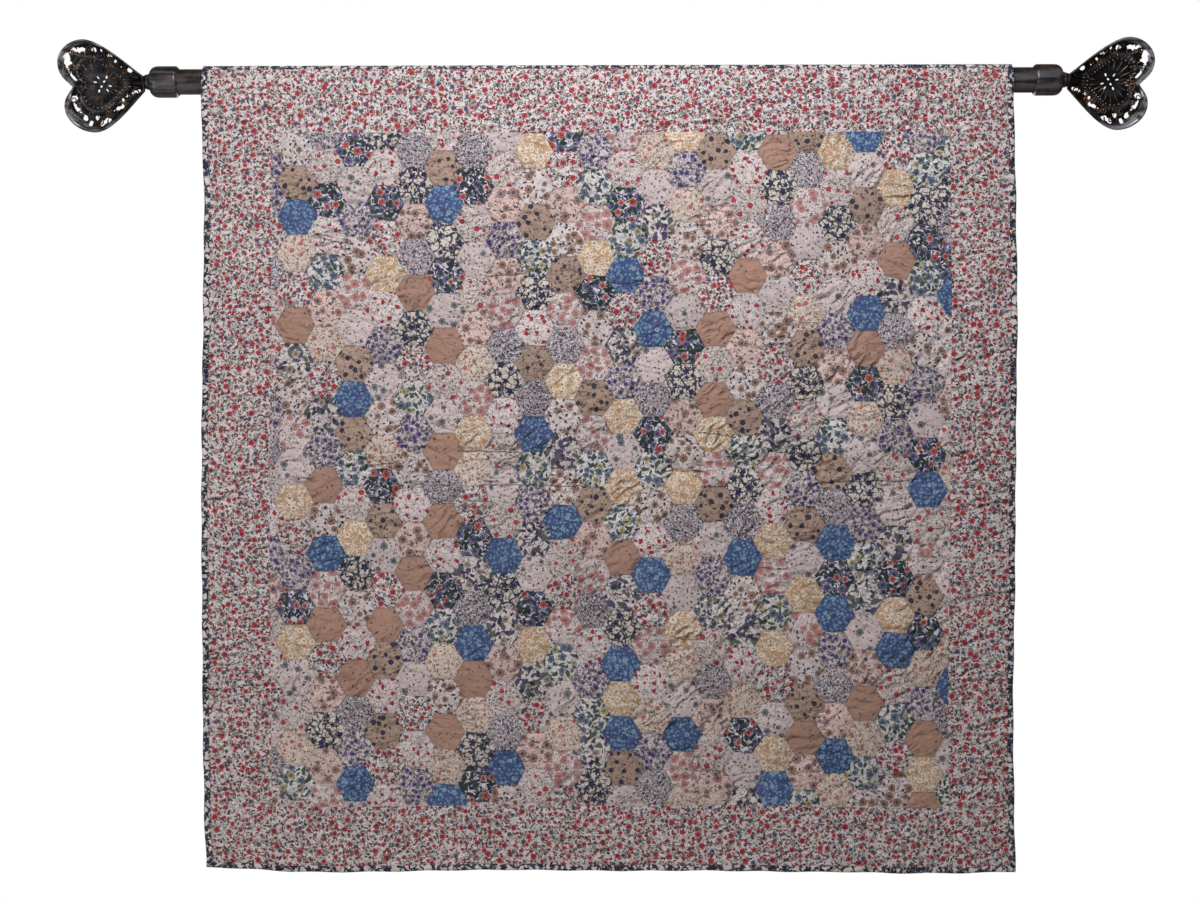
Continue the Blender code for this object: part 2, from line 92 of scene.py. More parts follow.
# %% Sizes of the flat quilt, in metres
ROD_RADIUS = (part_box("rod")[1][2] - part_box("rod")[0][2]) / 2
QUILT_WIDTH = 1.027
STRAIGHT_DROP = 1.0045
WRAP_RADIUS = 0.0197
WRAP = WRAP_RADIUS * math.radians(58)
QUILT_LENGTH = WRAP + STRAIGHT_DROP
HALF_WIDTH = QUILT_WIDTH / 2
BINDING = 0.008
GAP = 0.0003
SEAM_GAP = 0.00002  # between two cloths sewn edge to edge
RIM = BINDING + SEAM_GAP
FRONT, BACK = 0.0012, -0.0016
FIELD_LEFT, FIELD_RIGHT = 0.0864 - HALF_WIDTH, HALF_WIDTH - 0.0826
FIELD_TOP, FIELD_BOTTOM = 0.0890, QUILT_LENGTH - 0.0826
print("flat quilt:", QUILT_WIDTH, "by", round(QUILT_LENGTH, 4))

# %% [markdown]
# ## How the cloth hangs
# A cloth simulation could drape the quilt, but it would lose the folds of this one. Here
# the folds are short tables, and one function hangs any point of the flat quilt: back
# over the rod, straight down, and out into slow waves and old storage creases. Because
# every piece goes through it, neighbours follow each other in each fold.

# %% Tables of the folds
EdgeRow = namedtuple("EdgeRow", "at left right")
EDGE_ROWS = (
    EdgeRow(0.000, -0.0012, 0.0014),
    EdgeRow(0.055, -0.0017, 0.0021),
    EdgeRow(0.185, -0.0050, 0.0044),
    EdgeRow(0.310, -0.0030, 0.0059),
    EdgeRow(0.465, -0.0004, 0.0047),
    EdgeRow(0.615, 0.0009, 0.0034),
    EdgeRow(0.820, 0.0009, 0.0009),
    EdgeRow(0.970, -0.0004, 0.0021),
    EdgeRow(1.030, -0.0028, 0.0034),
)
HemPoint = namedtuple("HemPoint", "at drop")
HEM_POINTS = (
    HemPoint(-0.514, -0.0040),
    HemPoint(-0.382, 0.0009),
    HemPoint(-0.128, -0.0012),
    HemPoint(0.063, 0.0010),
    HemPoint(0.285, 0.0028),
    HemPoint(0.380, 0.0046),
    HemPoint(0.443, 0.0040),
    HemPoint(0.514, 0.0020),
)
Wave = namedtuple("Wave", "across down height phase")
WAVES = (
    Wave(0.66, 2.10, 0.0026, 0.4),
    Wave(0.29, 0.95, 0.0011, 2.0),
    Wave(-0.43, 0.37, 0.0008, 4.1),
)
Ripple = namedtuple("Ripple", "length height phase")
SIDE_RIPPLE = Ripple(0.083, 0.0005, 1.1)
END_RIPPLE = Ripple(0.071, 0.0005, 0.3)
RIPPLE_REACH = 0.0826
Crease = namedtuple("Crease", "across drop to_across to_drop depth width")
CREASES = (
    Crease(-0.411, 0.508, -0.130, 0.515, 0.0026, 0.013),
    Crease(-0.130, 0.515, 0.150, 0.510, 0.0028, 0.013),
    Crease(0.150, 0.510, 0.429, 0.518, 0.0026, 0.013),
    Crease(-0.263, 0.491, 0.042, 0.493, 0.0012, 0.009),
    Crease(-0.159, 0.534, -0.047, 0.535, 0.0012, 0.009),
    Crease(0.270, 0.535, 0.386, 0.537, 0.0012, 0.009),
    Crease(-0.259, 0.285, -0.262, 0.527, 0.0014, 0.012),
    Crease(-0.013, 0.090, -0.010, 0.936, 0.0018, 0.013),
    Crease(0.020, 0.458, 0.018, 0.718, 0.0012, 0.011),
    Crease(0.182, 0.457, 0.350, 0.406, 0.0014, 0.012),
    Crease(0.182, 0.466, 0.334, 0.544, 0.0014, 0.012),
)
LEVEL_DROP, FULL_DROP, SWING_BACK = 0.115, 0.330, 0.011
print(len(WAVES), "waves and", len(CREASES), "creases")

# %% Hang any points of the flat quilt
def ease(share):
    """A share from 0 to 1, with a soft start and end."""
    share = np.clip(share, 0.0, 1.0)
    return share * share * (3.0 - 2.0 * share)


def read_table(rows, column, at):
    """A table's column at many places between its rows."""
    places = np.array([row.at for row in rows])
    values = np.array([getattr(row, column) for row in rows])
    low = np.clip(np.searchsorted(places, at) - 1, 0, len(rows) - 2)
    share = ease((at - places[low]) / (places[low + 1] - places[low]))
    return values[low] * (1.0 - share) + values[low + 1] * share


def crease_depth(crease, u, v):
    """How deep one crease is, soft across it and at its ends."""
    run_u, run_v = crease.to_across - crease.across, crease.to_drop - crease.drop
    here_u, here_v = u - crease.across, v - crease.drop
    along = np.clip((here_u * run_u + here_v * run_v) / (run_u**2 + run_v**2), 0.0, 1.0)
    away = np.hypot(here_u - along * run_u, here_v - along * run_v)
    return crease.depth * np.exp(-((away / crease.width) ** 2))


def ripple(row, along, inside):
    swing = np.sin(2 * math.pi * along / row.length + row.phase)
    return row.height * swing * ease(1.0 - inside / RIPPLE_REACH)


def fold_out(u, v):
    """How far waves and creases carry the cloth toward the viewer."""
    waves = sum(
        wave.height * np.sin(2 * math.pi * (u / wave.across + v / wave.down) + wave.phase)
        for wave in WAVES
    )
    creases = sum(crease_depth(crease, u, v) for crease in CREASES)
    fade = ease((v - LEVEL_DROP) / (FULL_DROP - LEVEL_DROP))
    swing = SWING_BACK * ease((v - LEVEL_DROP) / (QUILT_LENGTH - LEVEL_DROP))
    return fade * waves - creases - swing


def drape(flat):
    """Hang an array of (u, v, w) points, and give their (x, y, z) places."""
    u, v, w = np.asarray(flat, dtype=float).T
    left = HALF_WIDTH + read_table(EDGE_ROWS, "left", v)
    right = HALF_WIDTH + read_table(EDGE_ROWS, "right", v)
    x = -left + (u + HALF_WIDTH) / QUILT_WIDTH * (left + right)
    x = x + ripple(SIDE_RIPPLE, v, HALF_WIDTH - np.abs(u))
    low = read_table(HEM_POINTS, "drop", u) * ((v - WRAP) / STRAIGHT_DROP) ** 2
    low = low + ripple(END_RIPPLE, u, QUILT_LENGTH - v)
    angle = (WRAP - v) / WRAP_RADIUS
    over = v < WRAP
    y = np.where(over, -(WRAP_RADIUS + w) * np.cos(angle), -WRAP_RADIUS - w - fold_out(u, v))
    z = np.where(over, (WRAP_RADIUS + w) * np.sin(angle), -(v - WRAP) - low)
    return np.stack((x, y, z), axis=1)


print("hem hangs to z =", drape([(0.0, QUILT_LENGTH, 0.0)])[0][2].round(3))

# %% [markdown]
# ## Camera, light and floor
# The camera looks straight at the quilt, at the height of its middle. A large soft lamp
# hangs high in front, so that seams and puckers throw a little shade, and a weaker one
# stands low on the left. A third shows the lining from behind, where it can't reach the
# face. A pale world fills in from all round. The floor is plain and lies below the hem.

# %% Camera
VIEW_DISTANCE = 2.3  # from the quilt's face
VIEW_WIDTH = 1.516  # how much of the quilt's plane the picture takes in
VIEW_CENTRE = Vector((-0.0089, -0.0213, -0.4705))
VIEW_ROLL = math.radians(0.14)
camera_data = bpy.data.cameras.new("camera")
camera_data.sensor_width = 36.0
camera_data.lens = camera_data.sensor_width * VIEW_DISTANCE / VIEW_WIDTH
camera = bpy.data.objects.new("camera", camera_data)
camera.location = VIEW_CENTRE - Vector((0.0, VIEW_DISTANCE, 0.0))
camera.rotation_euler = (math.radians(90), VIEW_ROLL, 0.0)
bpy.context.scene.collection.objects.link(camera)
bpy.context.scene.camera = camera
print("lens", round(camera_data.lens, 1), "mm")

# %% Lamps
LampRow = namedtuple("LampRow", "name place size power tint")
LAMPS = (
    LampRow("key_lamp", (0.0, -0.90, 0.50), 0.7, 9.8, (0.975, 0.995, 1.02)),
    LampRow("side_lamp", (-1.4, -1.15, -0.70), 0.8, 5.5, (1.0, 0.99, 0.97)),
    LampRow("back_lamp", (0.0, 1.50, -0.45), 0.8, 8.0, (1.0, 1.0, 1.0)),
)
LAMP_TARGET = Vector((0.0, 0.0, -0.35))
for row in LAMPS:
    lamp = bpy.data.lights.new(row.name, 'AREA')
    lamp.size = row.size
    lamp.energy = row.power
    lamp.color = row.tint
    lamp_object = bpy.data.objects.new(row.name, lamp)
    lamp_object.location = row.place
    aim = LAMP_TARGET - lamp_object.location
    lamp_object.rotation_euler = aim.to_track_quat('-Z', 'Y').to_euler()
    bpy.context.scene.collection.objects.link(lamp_object)
print("lamps:", [row.name for row in LAMPS])

# %% World
WORLD_SEEN, WORLD_LIGHT = 1.0, 0.14  # how bright it looks, and how much it lights
world = bpy.data.worlds.new("pale_room")
bpy.context.scene.world = world
world.use_nodes = True
sky = world.node_tree.nodes["Background"]
seen = world.node_tree.nodes.new("ShaderNodeLightPath")
strength = world.node_tree.nodes.new("ShaderNodeMapRange")
strength.inputs["To Min"].default_value = WORLD_LIGHT
strength.inputs["To Max"].default_value = WORLD_SEEN
sky.inputs["Color"].default_value = (1.0, 1.0, 1.0, 1.0)
world.node_tree.links.new(seen.outputs["Is Camera Ray"], strength.inputs["Value"])
world.node_tree.links.new(strength.outputs["Result"], sky.inputs["Strength"])
bpy.context.scene.view_settings.view_transform = 'Standard'
print("the world lights with", WORLD_LIGHT)

# %% Floor
FLOOR_DROP, FLOOR_RADIUS = 0.30, 0.75  # the drop is below the hem
bpy.ops.mesh.primitive_circle_add(
    vertices=96, radius=FLOOR_RADIUS, fill_type='NGON',
    location=(0.0, -0.15, model_box[0][2] - FLOOR_DROP))
floor = bpy.context.object
floor.name = "floor"
floor_paint = bpy.data.materials.new("floor_paint")
floor_paint.use_nodes = True
floor_shader = floor_paint.node_tree.nodes["Principled BSDF"]
floor_shader.inputs["Base Color"].default_value = (0.8, 0.79, 0.77, 1)
floor_shader.inputs["Roughness"].default_value = 0.7
floor.data.materials.append(floor_paint)
print("floor at z =", round(floor.location.z, 3))

# %% [markdown]
# ## Cotton prints
# A dress cotton is printed in layers: a ground colour, then stems, leaves and flowers,
# each with its own block or roller. The materials do the same. Small shader groups
# scatter one motif each over the cloth's own flat coordinates, and a table says which
# motifs, at what size and in what colour, make up each print.

# %% A short way to write shader nodes
class Graph:
    """Adds nodes to one tree. Every input is a number, a colour or another output."""

    def __init__(self, tree):
        self.tree = tree

    def add(self, kind, inputs=(), **settings):
        node = self.tree.nodes.new(kind)
        for name, value in settings.items():
            setattr(node, name, value)
        for key, value in dict(inputs).items():
            self.feed(node.inputs[key], value)
        return node

    def feed(self, socket, value):
        if isinstance(value, bpy.types.NodeSocket):
            self.tree.links.new(value, socket)
        elif value is not None:
            socket.default_value = value

    def sum(self, operation, first, second=None, third=None):
        node = self.add("ShaderNodeMath", operation=operation)
        for socket, value in zip(node.inputs, (first, second, third)):
            self.feed(socket, value)
        return node.outputs[0]

    def vector(self, operation, first, second=None, scale=None):
        node = self.add("ShaderNodeVectorMath", operation=operation)
        sockets = (node.inputs[0], node.inputs[1], node.inputs[3])
        for socket, value in zip(sockets, (first, second, scale)):
            self.feed(socket, value)
        return node.outputs[1 if operation == 'LENGTH' else 0]

    def parts(self, vector):
        node = self.add("ShaderNodeSeparateXYZ", {0: vector})
        return node.outputs[0], node.outputs[1]

    def pair(self, x, y):
        return self.add("ShaderNodeCombineXYZ", {0: x, 1: y}).outputs[0]

    def step(self, value, low, high):
        """A soft step from 0 at low to 1 at high."""
        node = self.add("ShaderNodeMapRange", interpolation_type='SMOOTHSTEP')
        for name, item in zip(("Value", "From Min", "From Max"), (value, low, high)):
            self.feed(node.inputs[name], item)
        return node.outputs["Result"]

    def noise(self, place, scale, detail=2.0, kind='2D', **inputs):
        node = self.add("ShaderNodeTexNoise", noise_dimensions=kind)
        self.feed(node.inputs["Vector"], place)
        self.feed(node.inputs["Scale"], scale)
        self.feed(node.inputs["Detail"], detail)
        for name, value in inputs.items():
            self.feed(node.inputs[name], value)
        return node.outputs

    def mix(self, share, first, second):
        """A share of the way from the first colour to the second."""
        node = self.add("ShaderNodeMix", data_type='RGBA')
        colours = [socket for socket in node.inputs if socket.type == 'RGBA']
        for socket, value in zip((node.inputs[0], *colours), (share, first, second)):
            self.feed(socket, value)
        return [socket for socket in node.outputs if socket.type == 'RGBA'][0]

    def turn(self, place, angle):
        """A place turned about its own origin, by an angle in radians."""
        return self.add("ShaderNodeVectorRotate", {"Vector": place, "Angle": angle},
                        rotation_type='Z_AXIS').outputs[0]

    def sway(self, place, swing, reach):
        """A place moved by a noise's colour, at most half of reach to either side."""
        middle = self.vector('SUBTRACT', swing, (0.5, 0.5, 0.5))
        return self.vector('ADD', place, self.vector('SCALE', middle, scale=reach))

    def shade(self, light, mask, strength):
        """Light made brighter, or darker for a strength below 0, where a mask is strong."""
        return self.sum('MULTIPLY', light, self.sum('MULTIPLY_ADD', mask, strength, 1.0))


def new_group(name, inputs, outputs):
    """A shader group with named sockets. An input is (name, kind, value)."""
    tree = bpy.data.node_groups.new(name, "ShaderNodeTree")
    for label, kind, value in inputs:
        socket = tree.interface.new_socket(label, in_out='INPUT', socket_type="NodeSocket" + kind)
        if value is not None:
            socket.default_value = value
    for label, kind in outputs:
        tree.interface.new_socket(label, in_out='OUTPUT', socket_type="NodeSocket" + kind)
    graph = Graph(tree)
    given = graph.add("NodeGroupInput").outputs
    result = graph.add("NodeGroupOutput").inputs
    return tree, graph, given, result


print("node helpers ready")

# %% [markdown]
# Each scattered motif starts from Voronoi cells, which give one point per cell and a
# random colour to go with it. Places are then measured from that point, in millimetres. A
# slow noise lets every outline waver a little, as the hand that cut its block did.

# %% Find the nearest motif
MOTIF_INPUTS = [("Place", "Vector", None), ("Pitch", "Float", 8.0), ("Size", "Float", 2.0),
                ("Form", "Float", 0.3), ("Share", "Float", 1.0), ("Seed", "Float", 0.0)]
HAND_LENGTH, HAND_SHAKE = 0.34, 2.4       # per mm, and mm: how a drawn outline wavers
EDGE_SOFT = 0.16          # mm, how far a printed edge blurs into the cotton
CELL_SHUFFLE = 0.9        # how far the cells' points stray from rows
DOWN_SEED = 0.37          # a seed moves the cells by another amount down than across


def count_pitches(graph, given, down):
    """A place counted in pitches, and moved by the printing's own seed."""
    scaled = graph.vector('SCALE', given["Place"], scale=graph.sum('DIVIDE', 1.0, given["Pitch"]))
    return graph.vector('ADD', scaled, graph.pair(given["Seed"], down))


def cell_motif(graph, given):
    """The place from the nearest motif's middle, a random share, and whether it is printed."""
    moved = count_pitches(graph, given, graph.sum('MULTIPLY', given["Seed"], DOWN_SEED))
    cells = graph.add("ShaderNodeTexVoronoi",
                      {"Vector": moved, "Scale": 1.0, "Randomness": CELL_SHUFFLE},
                      voronoi_dimensions='2D')
    local = graph.vector('SUBTRACT', moved, cells.outputs["Position"])
    local = graph.vector('SCALE', local, scale=given["Pitch"])
    local = graph.sway(local, graph.noise(given["Place"], HAND_LENGTH, 1.0)["Color"], HAND_SHAKE)
    chance = graph.add("ShaderNodeSeparateColor", {0: cells.outputs["Color"]}).outputs
    turned = graph.turn(local, graph.sum('MULTIPLY', chance[1], 2 * math.pi))
    printed = graph.sum('LESS_THAN', chance[0], given["Share"])
    return turned, chance[2], printed


def own_size(graph, given, luck, least, spread):
    """A motif's own size: the least share of the size given, and up to a spread more."""
    return graph.sum('MULTIPLY', given["Size"], graph.sum('MULTIPLY_ADD', luck, spread, least))


def ink_mask(graph, inside, printed):
    """Where ink lies, from how far inside an outline a place is, in mm."""
    return graph.sum('MULTIPLY', graph.step(inside, -EDGE_SOFT, EDGE_SOFT), printed)


print("motif helpers ready")

# %% [markdown]
# A flower is a round whose radius dips between its petals. It has a round heart, a shade
# that grows toward its edge, and a narrow ring of bare ground kept clear all round it.

# %% Group for flowers
CLEAR_RING = 0.35         # mm of bare ground kept round each flower
FLOWER_HEART = 0.36       # its heart's radius, as a share of its size

bloom_group, graph, given, result = new_group(
    "scattered_blooms", MOTIF_INPUTS + [("Petals", "Float", 5.0)],
    [("Petal", "Float"), ("Heart", "Float"), ("Shade", "Float"), ("Clear", "Float")])
local, luck, printed = cell_motif(graph, given)
radius = graph.vector('LENGTH', local)
x, y = graph.parts(local)
angle = graph.sum('ARCTAN2', y, x)
lobes = graph.sum('COSINE', graph.sum('MULTIPLY', angle, given["Petals"]))
notch = graph.sum('MULTIPLY', given["Form"], graph.sum('MULTIPLY_ADD', lobes, -0.5, 0.5))
size = own_size(graph, given, luck, 0.75, 0.5)
reach = graph.sum('MULTIPLY', size, graph.sum('SUBTRACT', 1.0, notch))
inside = graph.sum('SUBTRACT', reach, radius)
inside_heart = graph.sum('SUBTRACT', graph.sum('MULTIPLY', size, FLOWER_HEART), radius)
clear = graph.step(inside, -CLEAR_RING - EDGE_SOFT, -CLEAR_RING)
graph.feed(result["Petal"], ink_mask(graph, inside, printed))
graph.feed(result["Heart"], ink_mask(graph, inside_heart, printed))
graph.feed(result["Shade"], graph.sum('DIVIDE', radius, reach))
graph.feed(result["Clear"], graph.sum('MULTIPLY', clear, printed))
print("flowers:", len(bloom_group.nodes), "nodes")

# %% [markdown]
# A leaf is a pointed oval, widest in the middle, with its tips bent to one side.

# %% Group for leaves
LEAF_BEND = 0.25          # how far the tips bend, as a share of the leaf's size

leaf_group, graph, given, result = new_group("scattered_leaves", MOTIF_INPUTS, [("Leaf", "Float")])
local, luck, printed = cell_motif(graph, given)
x, y = graph.parts(local)
size = own_size(graph, given, luck, 0.7, 0.6)
along = graph.sum('DIVIDE', x, size)
squared = graph.sum('MULTIPLY', along, along)
bend = graph.sum('MULTIPLY', squared, graph.sum('MULTIPLY', size, LEAF_BEND))
half = graph.sum('MULTIPLY', graph.sum('MULTIPLY', size, given["Form"]),
                 graph.sum('SUBTRACT', 1.0, squared))
inside = graph.sum('SUBTRACT', half, graph.sum('ABSOLUTE', graph.sum('SUBTRACT', y, bend)))
graph.feed(result["Leaf"], ink_mask(graph, inside, printed))
print("leaves:", len(leaf_group.nodes), "nodes")

# %% [markdown]
# Stems follow the walls between Voronoi cells. The cells are swayed first, so that the
# walls wander, and a second noise breaks them into lengths.

# %% Group for stems
STEM_CORE = 0.26          # half the width of a stem's core, as a share of the stem's

stem_group, graph, given, result = new_group(
    "wandering_stems", MOTIF_INPUTS, [("Stem", "Float"), ("Core", "Float")])
moved = count_pitches(graph, given, given["Seed"])
moved = graph.sway(moved, graph.noise(moved, 1.7, 1.0)["Color"], given["Form"])
web = graph.add("ShaderNodeTexVoronoi", {"Vector": moved, "Scale": 1.0}, voronoi_dimensions='2D',
                feature='DISTANCE_TO_EDGE').outputs["Distance"]
web = graph.sum('MULTIPLY', web, given["Pitch"])
bare_until = graph.sum('SUBTRACT', 0.9, given["Share"])
whole_from = graph.sum('SUBTRACT', 1.0, given["Share"])
broken = graph.step(graph.noise(moved, 2.3, 0.0)["Fac"], bare_until, whole_from)
for label, half_width in (("Stem", 0.5), ("Core", STEM_CORE)):
    inside = graph.sum('SUBTRACT', graph.sum('MULTIPLY', given["Size"], half_width), web)
    graph.feed(result[label], ink_mask(graph, inside, broken))
print("stems:", len(stem_group.nodes), "nodes")

# %% [markdown]
# A mottled ground is a cloudy noise, cut into blots whose edges are nearly hard.

# %% Group for a mottled ground
BLOT_EDGE = 0.07          # of the noise, from bare ground to full ink

mottle_group, graph, given, result = new_group(
    "mottled_ground", MOTIF_INPUTS, [("Mottle", "Float")])
moved = count_pitches(graph, given, given["Seed"])
cloud = graph.noise(moved, 1.0, given["Size"], Distortion=given["Form"])["Fac"]
low = graph.sum('SUBTRACT', 0.62, graph.sum('MULTIPLY', given["Share"], 0.25))
graph.feed(result["Mottle"], graph.step(cloud, low, graph.sum('ADD', low, BLOT_EDGE)))
print("motif groups:", [tree.name for tree in bpy.data.node_groups])

# %% [markdown]
# Every cotton shares one finish, a group that gives a colour and a height. Its threads
# show as a fine weave, each patch is a little lighter or darker than the next, and dust
# and painted shade darken it along the seams. Folding has left fine lines and a few sharp
# tucks, darkened with painted shade, hanging has left soft wrinkles, and light has greyed
# the cloth in slow patches.

# %% Tables of the cotton's wear
THREAD = 0.42             # mm between threads
Wrinkle = namedtuple("Wrinkle", "length apart detail height")
WRINKLES = (  # mm along, mm apart, and mm high at most
    Wrinkle(30.0, 12.0, 0.5, 14.0),
    Wrinkle(12.0, 5.5, 0.5, 2.2),
)
WRINKLE_SOFT = 0.085      # share of a noise, how round a wrinkle's foot is
WRINKLE_SLANT = 1.9       # radians, the most that patches differ in their wrinkles' lie
WRINKLE_SWAY = 16.0       # mm, how far a wrinkle bends off level
TUCK_HALF_WIDTH = 1.2     # mm
CreaseLine = namedtuple("CreaseLine", "turn length apart sway thin clear")
CREASE_LINES = (  # degrees, then mm; thin and clear are shares of a noise
    CreaseLine(3, 60.0, 14.0, 12.0, 0.050, 0.44),
    CreaseLine(-31, 46.0, 15.0, 11.0, 0.042, 0.52),
    CreaseLine(81, 46.0, 16.0, 11.0, 0.036, 0.57),
)
WEAVE_LIGHT, TONE_LIGHT, CLOUD_LIGHT, SPECK_LIGHT = 0.035, 0.16, 0.22, 0.14   # shares
# How far colour is darkened: at the seams by dust and painted shade, at fine lines and tucks by painted
# shade.
SEAM_SHADE_AND_DUST, LINE_PAINTED_SHADE, TUCK_PAINTED_SHADE = -0.34, -0.13, -0.55
WEAVE_HEIGHT, SLUB_HEIGHT = 0.010, 0.04   # mm
SEAM_DEPTH, LINE_DEPTH, TUCK_DEPTH = 0.40, 0.45, 1.20     # mm
FADE_SHARE, FADE_COLOUR = 0.10, (0.50, 0.42, 0.36, 1.0)
print(len(WRINKLES), "sizes of wrinkles and", len(CREASE_LINES), "ways of fine lines")

# %% Threads, tone, and dust and painted shade at the seams
cotton_group, graph, given, result = new_group(
    "cotton_finish",
    [("Colour", "Color", None), ("Yardage", "Vector", None), ("Flat", "Vector", None),
     ("Sewing", "Vector", None), ("Tuck", "Vector", None)],
    [("Colour", "Color"), ("Height", "Float")])
x, y = graph.parts(given["Yardage"])
warp = graph.sum('SINE', graph.sum('MULTIPLY', x, 2 * math.pi / THREAD))
weft = graph.sum('SINE', graph.sum('MULTIPLY', y, 2 * math.pi / THREAD))
weave = graph.sum('MULTIPLY', warp, weft)
slub = graph.noise(given["Yardage"], 1.1, 2.0)["Fac"]
seam, tone = graph.parts(given["Sewing"])
crowd = graph.sum('POWER', 2.718, graph.sum('MULTIPLY', seam, -1.15))
cloudy = graph.noise(given["Flat"], 0.011, 3.0)["Fac"]
speck = graph.noise(given["Flat"], 0.35, 2.0)["Fac"]
light = graph.sum('MULTIPLY_ADD', weave, WEAVE_LIGHT, 1.0)
for mask, strength in ((tone, TONE_LIGHT), (cloudy, CLOUD_LIGHT), (speck, SPECK_LIGHT)):
    light = graph.shade(light, graph.sum('SUBTRACT', mask, 0.5), strength)
# Dust and painted shade darken the cloth next to its seams, where it sinks.
light = graph.shade(light, crowd, SEAM_SHADE_AND_DUST)
print("threads", THREAD, "mm apart")

# %% [markdown]
# A fine line runs where a drawn-out noise crosses its middle value. A second noise keeps
# it to some places. The tucks come from a map on the cloth, made further down. Both sink
# the cloth's height and are darkened with painted shade.

# %% Fine lines and tucks
grooves = []
for line in CREASE_LINES:
    swayed = graph.sway(given["Flat"], graph.noise(given["Flat"], 0.028, 1.0)["Color"], line.sway)
    turned = graph.turn(swayed, math.radians(line.turn))
    drawn = graph.vector('MULTIPLY', turned, (1.0 / line.length, 1.0 / line.apart, 1.0))
    away = graph.sum('ABSOLUTE', graph.sum('SUBTRACT', graph.noise(drawn, 1.0, 1.0)["Fac"], 0.5))
    elsewhere = graph.vector('ADD', given["Flat"], (line.turn, 31.0, 0.0))
    patchy = graph.step(graph.noise(elsewhere, 0.035, 1.0)["Fac"], line.clear, line.clear + 0.12)
    grooves.append(graph.sum('MULTIPLY', graph.step(away, line.thin, 0.0), patchy))
groove = graph.sum('MAXIMUM', graph.sum('MAXIMUM', grooves[0], grooves[1]), grooves[2])
away, near = graph.parts(given["Tuck"])
waver = graph.sum('MULTIPLY_ADD', graph.noise(given["Flat"], 0.09, 2.0)["Fac"], 5.0, -2.5)
waver = graph.sum('ABSOLUTE', graph.sum('ADD', away, waver))
tuck = graph.sum('MULTIPLY', graph.step(waver, TUCK_HALF_WIDTH, 0.1), graph.step(near, 0.5, 0.72))
# Painted shade darkens the fine lines and the tucks.
light = graph.shade(light, groove, LINE_PAINTED_SHADE)
light = graph.shade(light, tuck, TUCK_PAINTED_SHADE)
toned = graph.vector('SCALE', given["Colour"], scale=light)
faded = graph.mix(graph.sum('MULTIPLY', cloudy, FADE_SHARE), toned, FADE_COLOUR)
graph.feed(result["Colour"], faded)
print("colour passes through", len(grooves), "ways of fine lines")

# %% [markdown]
# A wrinkle is a trough along the middle value of another noise, rounded at its foot. Each
# patch wrinkles in its own direction, and more so near a tuck.

# %% Wrinkles and the cloth's height
swayed = graph.sway(given["Flat"], graph.noise(given["Flat"], 0.03, 2.0)["Color"], WRINKLE_SWAY)
own = graph.sum('FRACT', graph.sum('MULTIPLY', tone, 7.31))
slant = graph.sum('MULTIPLY', graph.sum('SUBTRACT', own, 0.5), WRINKLE_SLANT)
slanted = graph.turn(swayed, slant)
amount = graph.step(graph.noise(given["Flat"], 0.021, 1.0)["Fac"], 0.30, 0.66)
amount = graph.sum('MULTIPLY_ADD', amount, 0.6, graph.sum('MULTIPLY', own, 0.8))
amount = graph.sum('ADD', amount, graph.sum('MULTIPLY', near, 0.8))
wrinkles = 0.0
for wrinkle in WRINKLES:
    drawn = graph.vector('MULTIPLY', slanted, (1.0 / wrinkle.length, 1.0 / wrinkle.apart, 1.0))
    ridge = graph.sum('SUBTRACT', graph.noise(drawn, 1.0, wrinkle.detail)["Fac"], 0.5)
    ridge = graph.sum('SQRT', graph.sum('MULTIPLY_ADD', ridge, ridge, WRINKLE_SOFT**2))
    wrinkles = graph.sum('MULTIPLY_ADD', ridge, wrinkle.height, wrinkles)
height = graph.sum('MULTIPLY_ADD', weave, WEAVE_HEIGHT, graph.sum('MULTIPLY', slub, SLUB_HEIGHT))
height = graph.sum('MULTIPLY_ADD', wrinkles, amount, height)
for mask, depth in ((crowd, SEAM_DEPTH), (groove, LINE_DEPTH), (tuck, TUCK_DEPTH)):
    height = graph.sum('SUBTRACT', height, graph.sum('MULTIPLY', mask, depth))
graph.feed(result["Height"], height)
print("cotton finish:", len(cotton_group.nodes), "nodes")

# %% [markdown]
# ## The table of prints
# Colours are given as they look on a screen, 0 to 255, and turned into light values once.
# Each motif row is one printing: what it is, how far apart, how big, its form (the notch
# between petals, the width of a leaf, the wander of a stem), how often, and its colours.

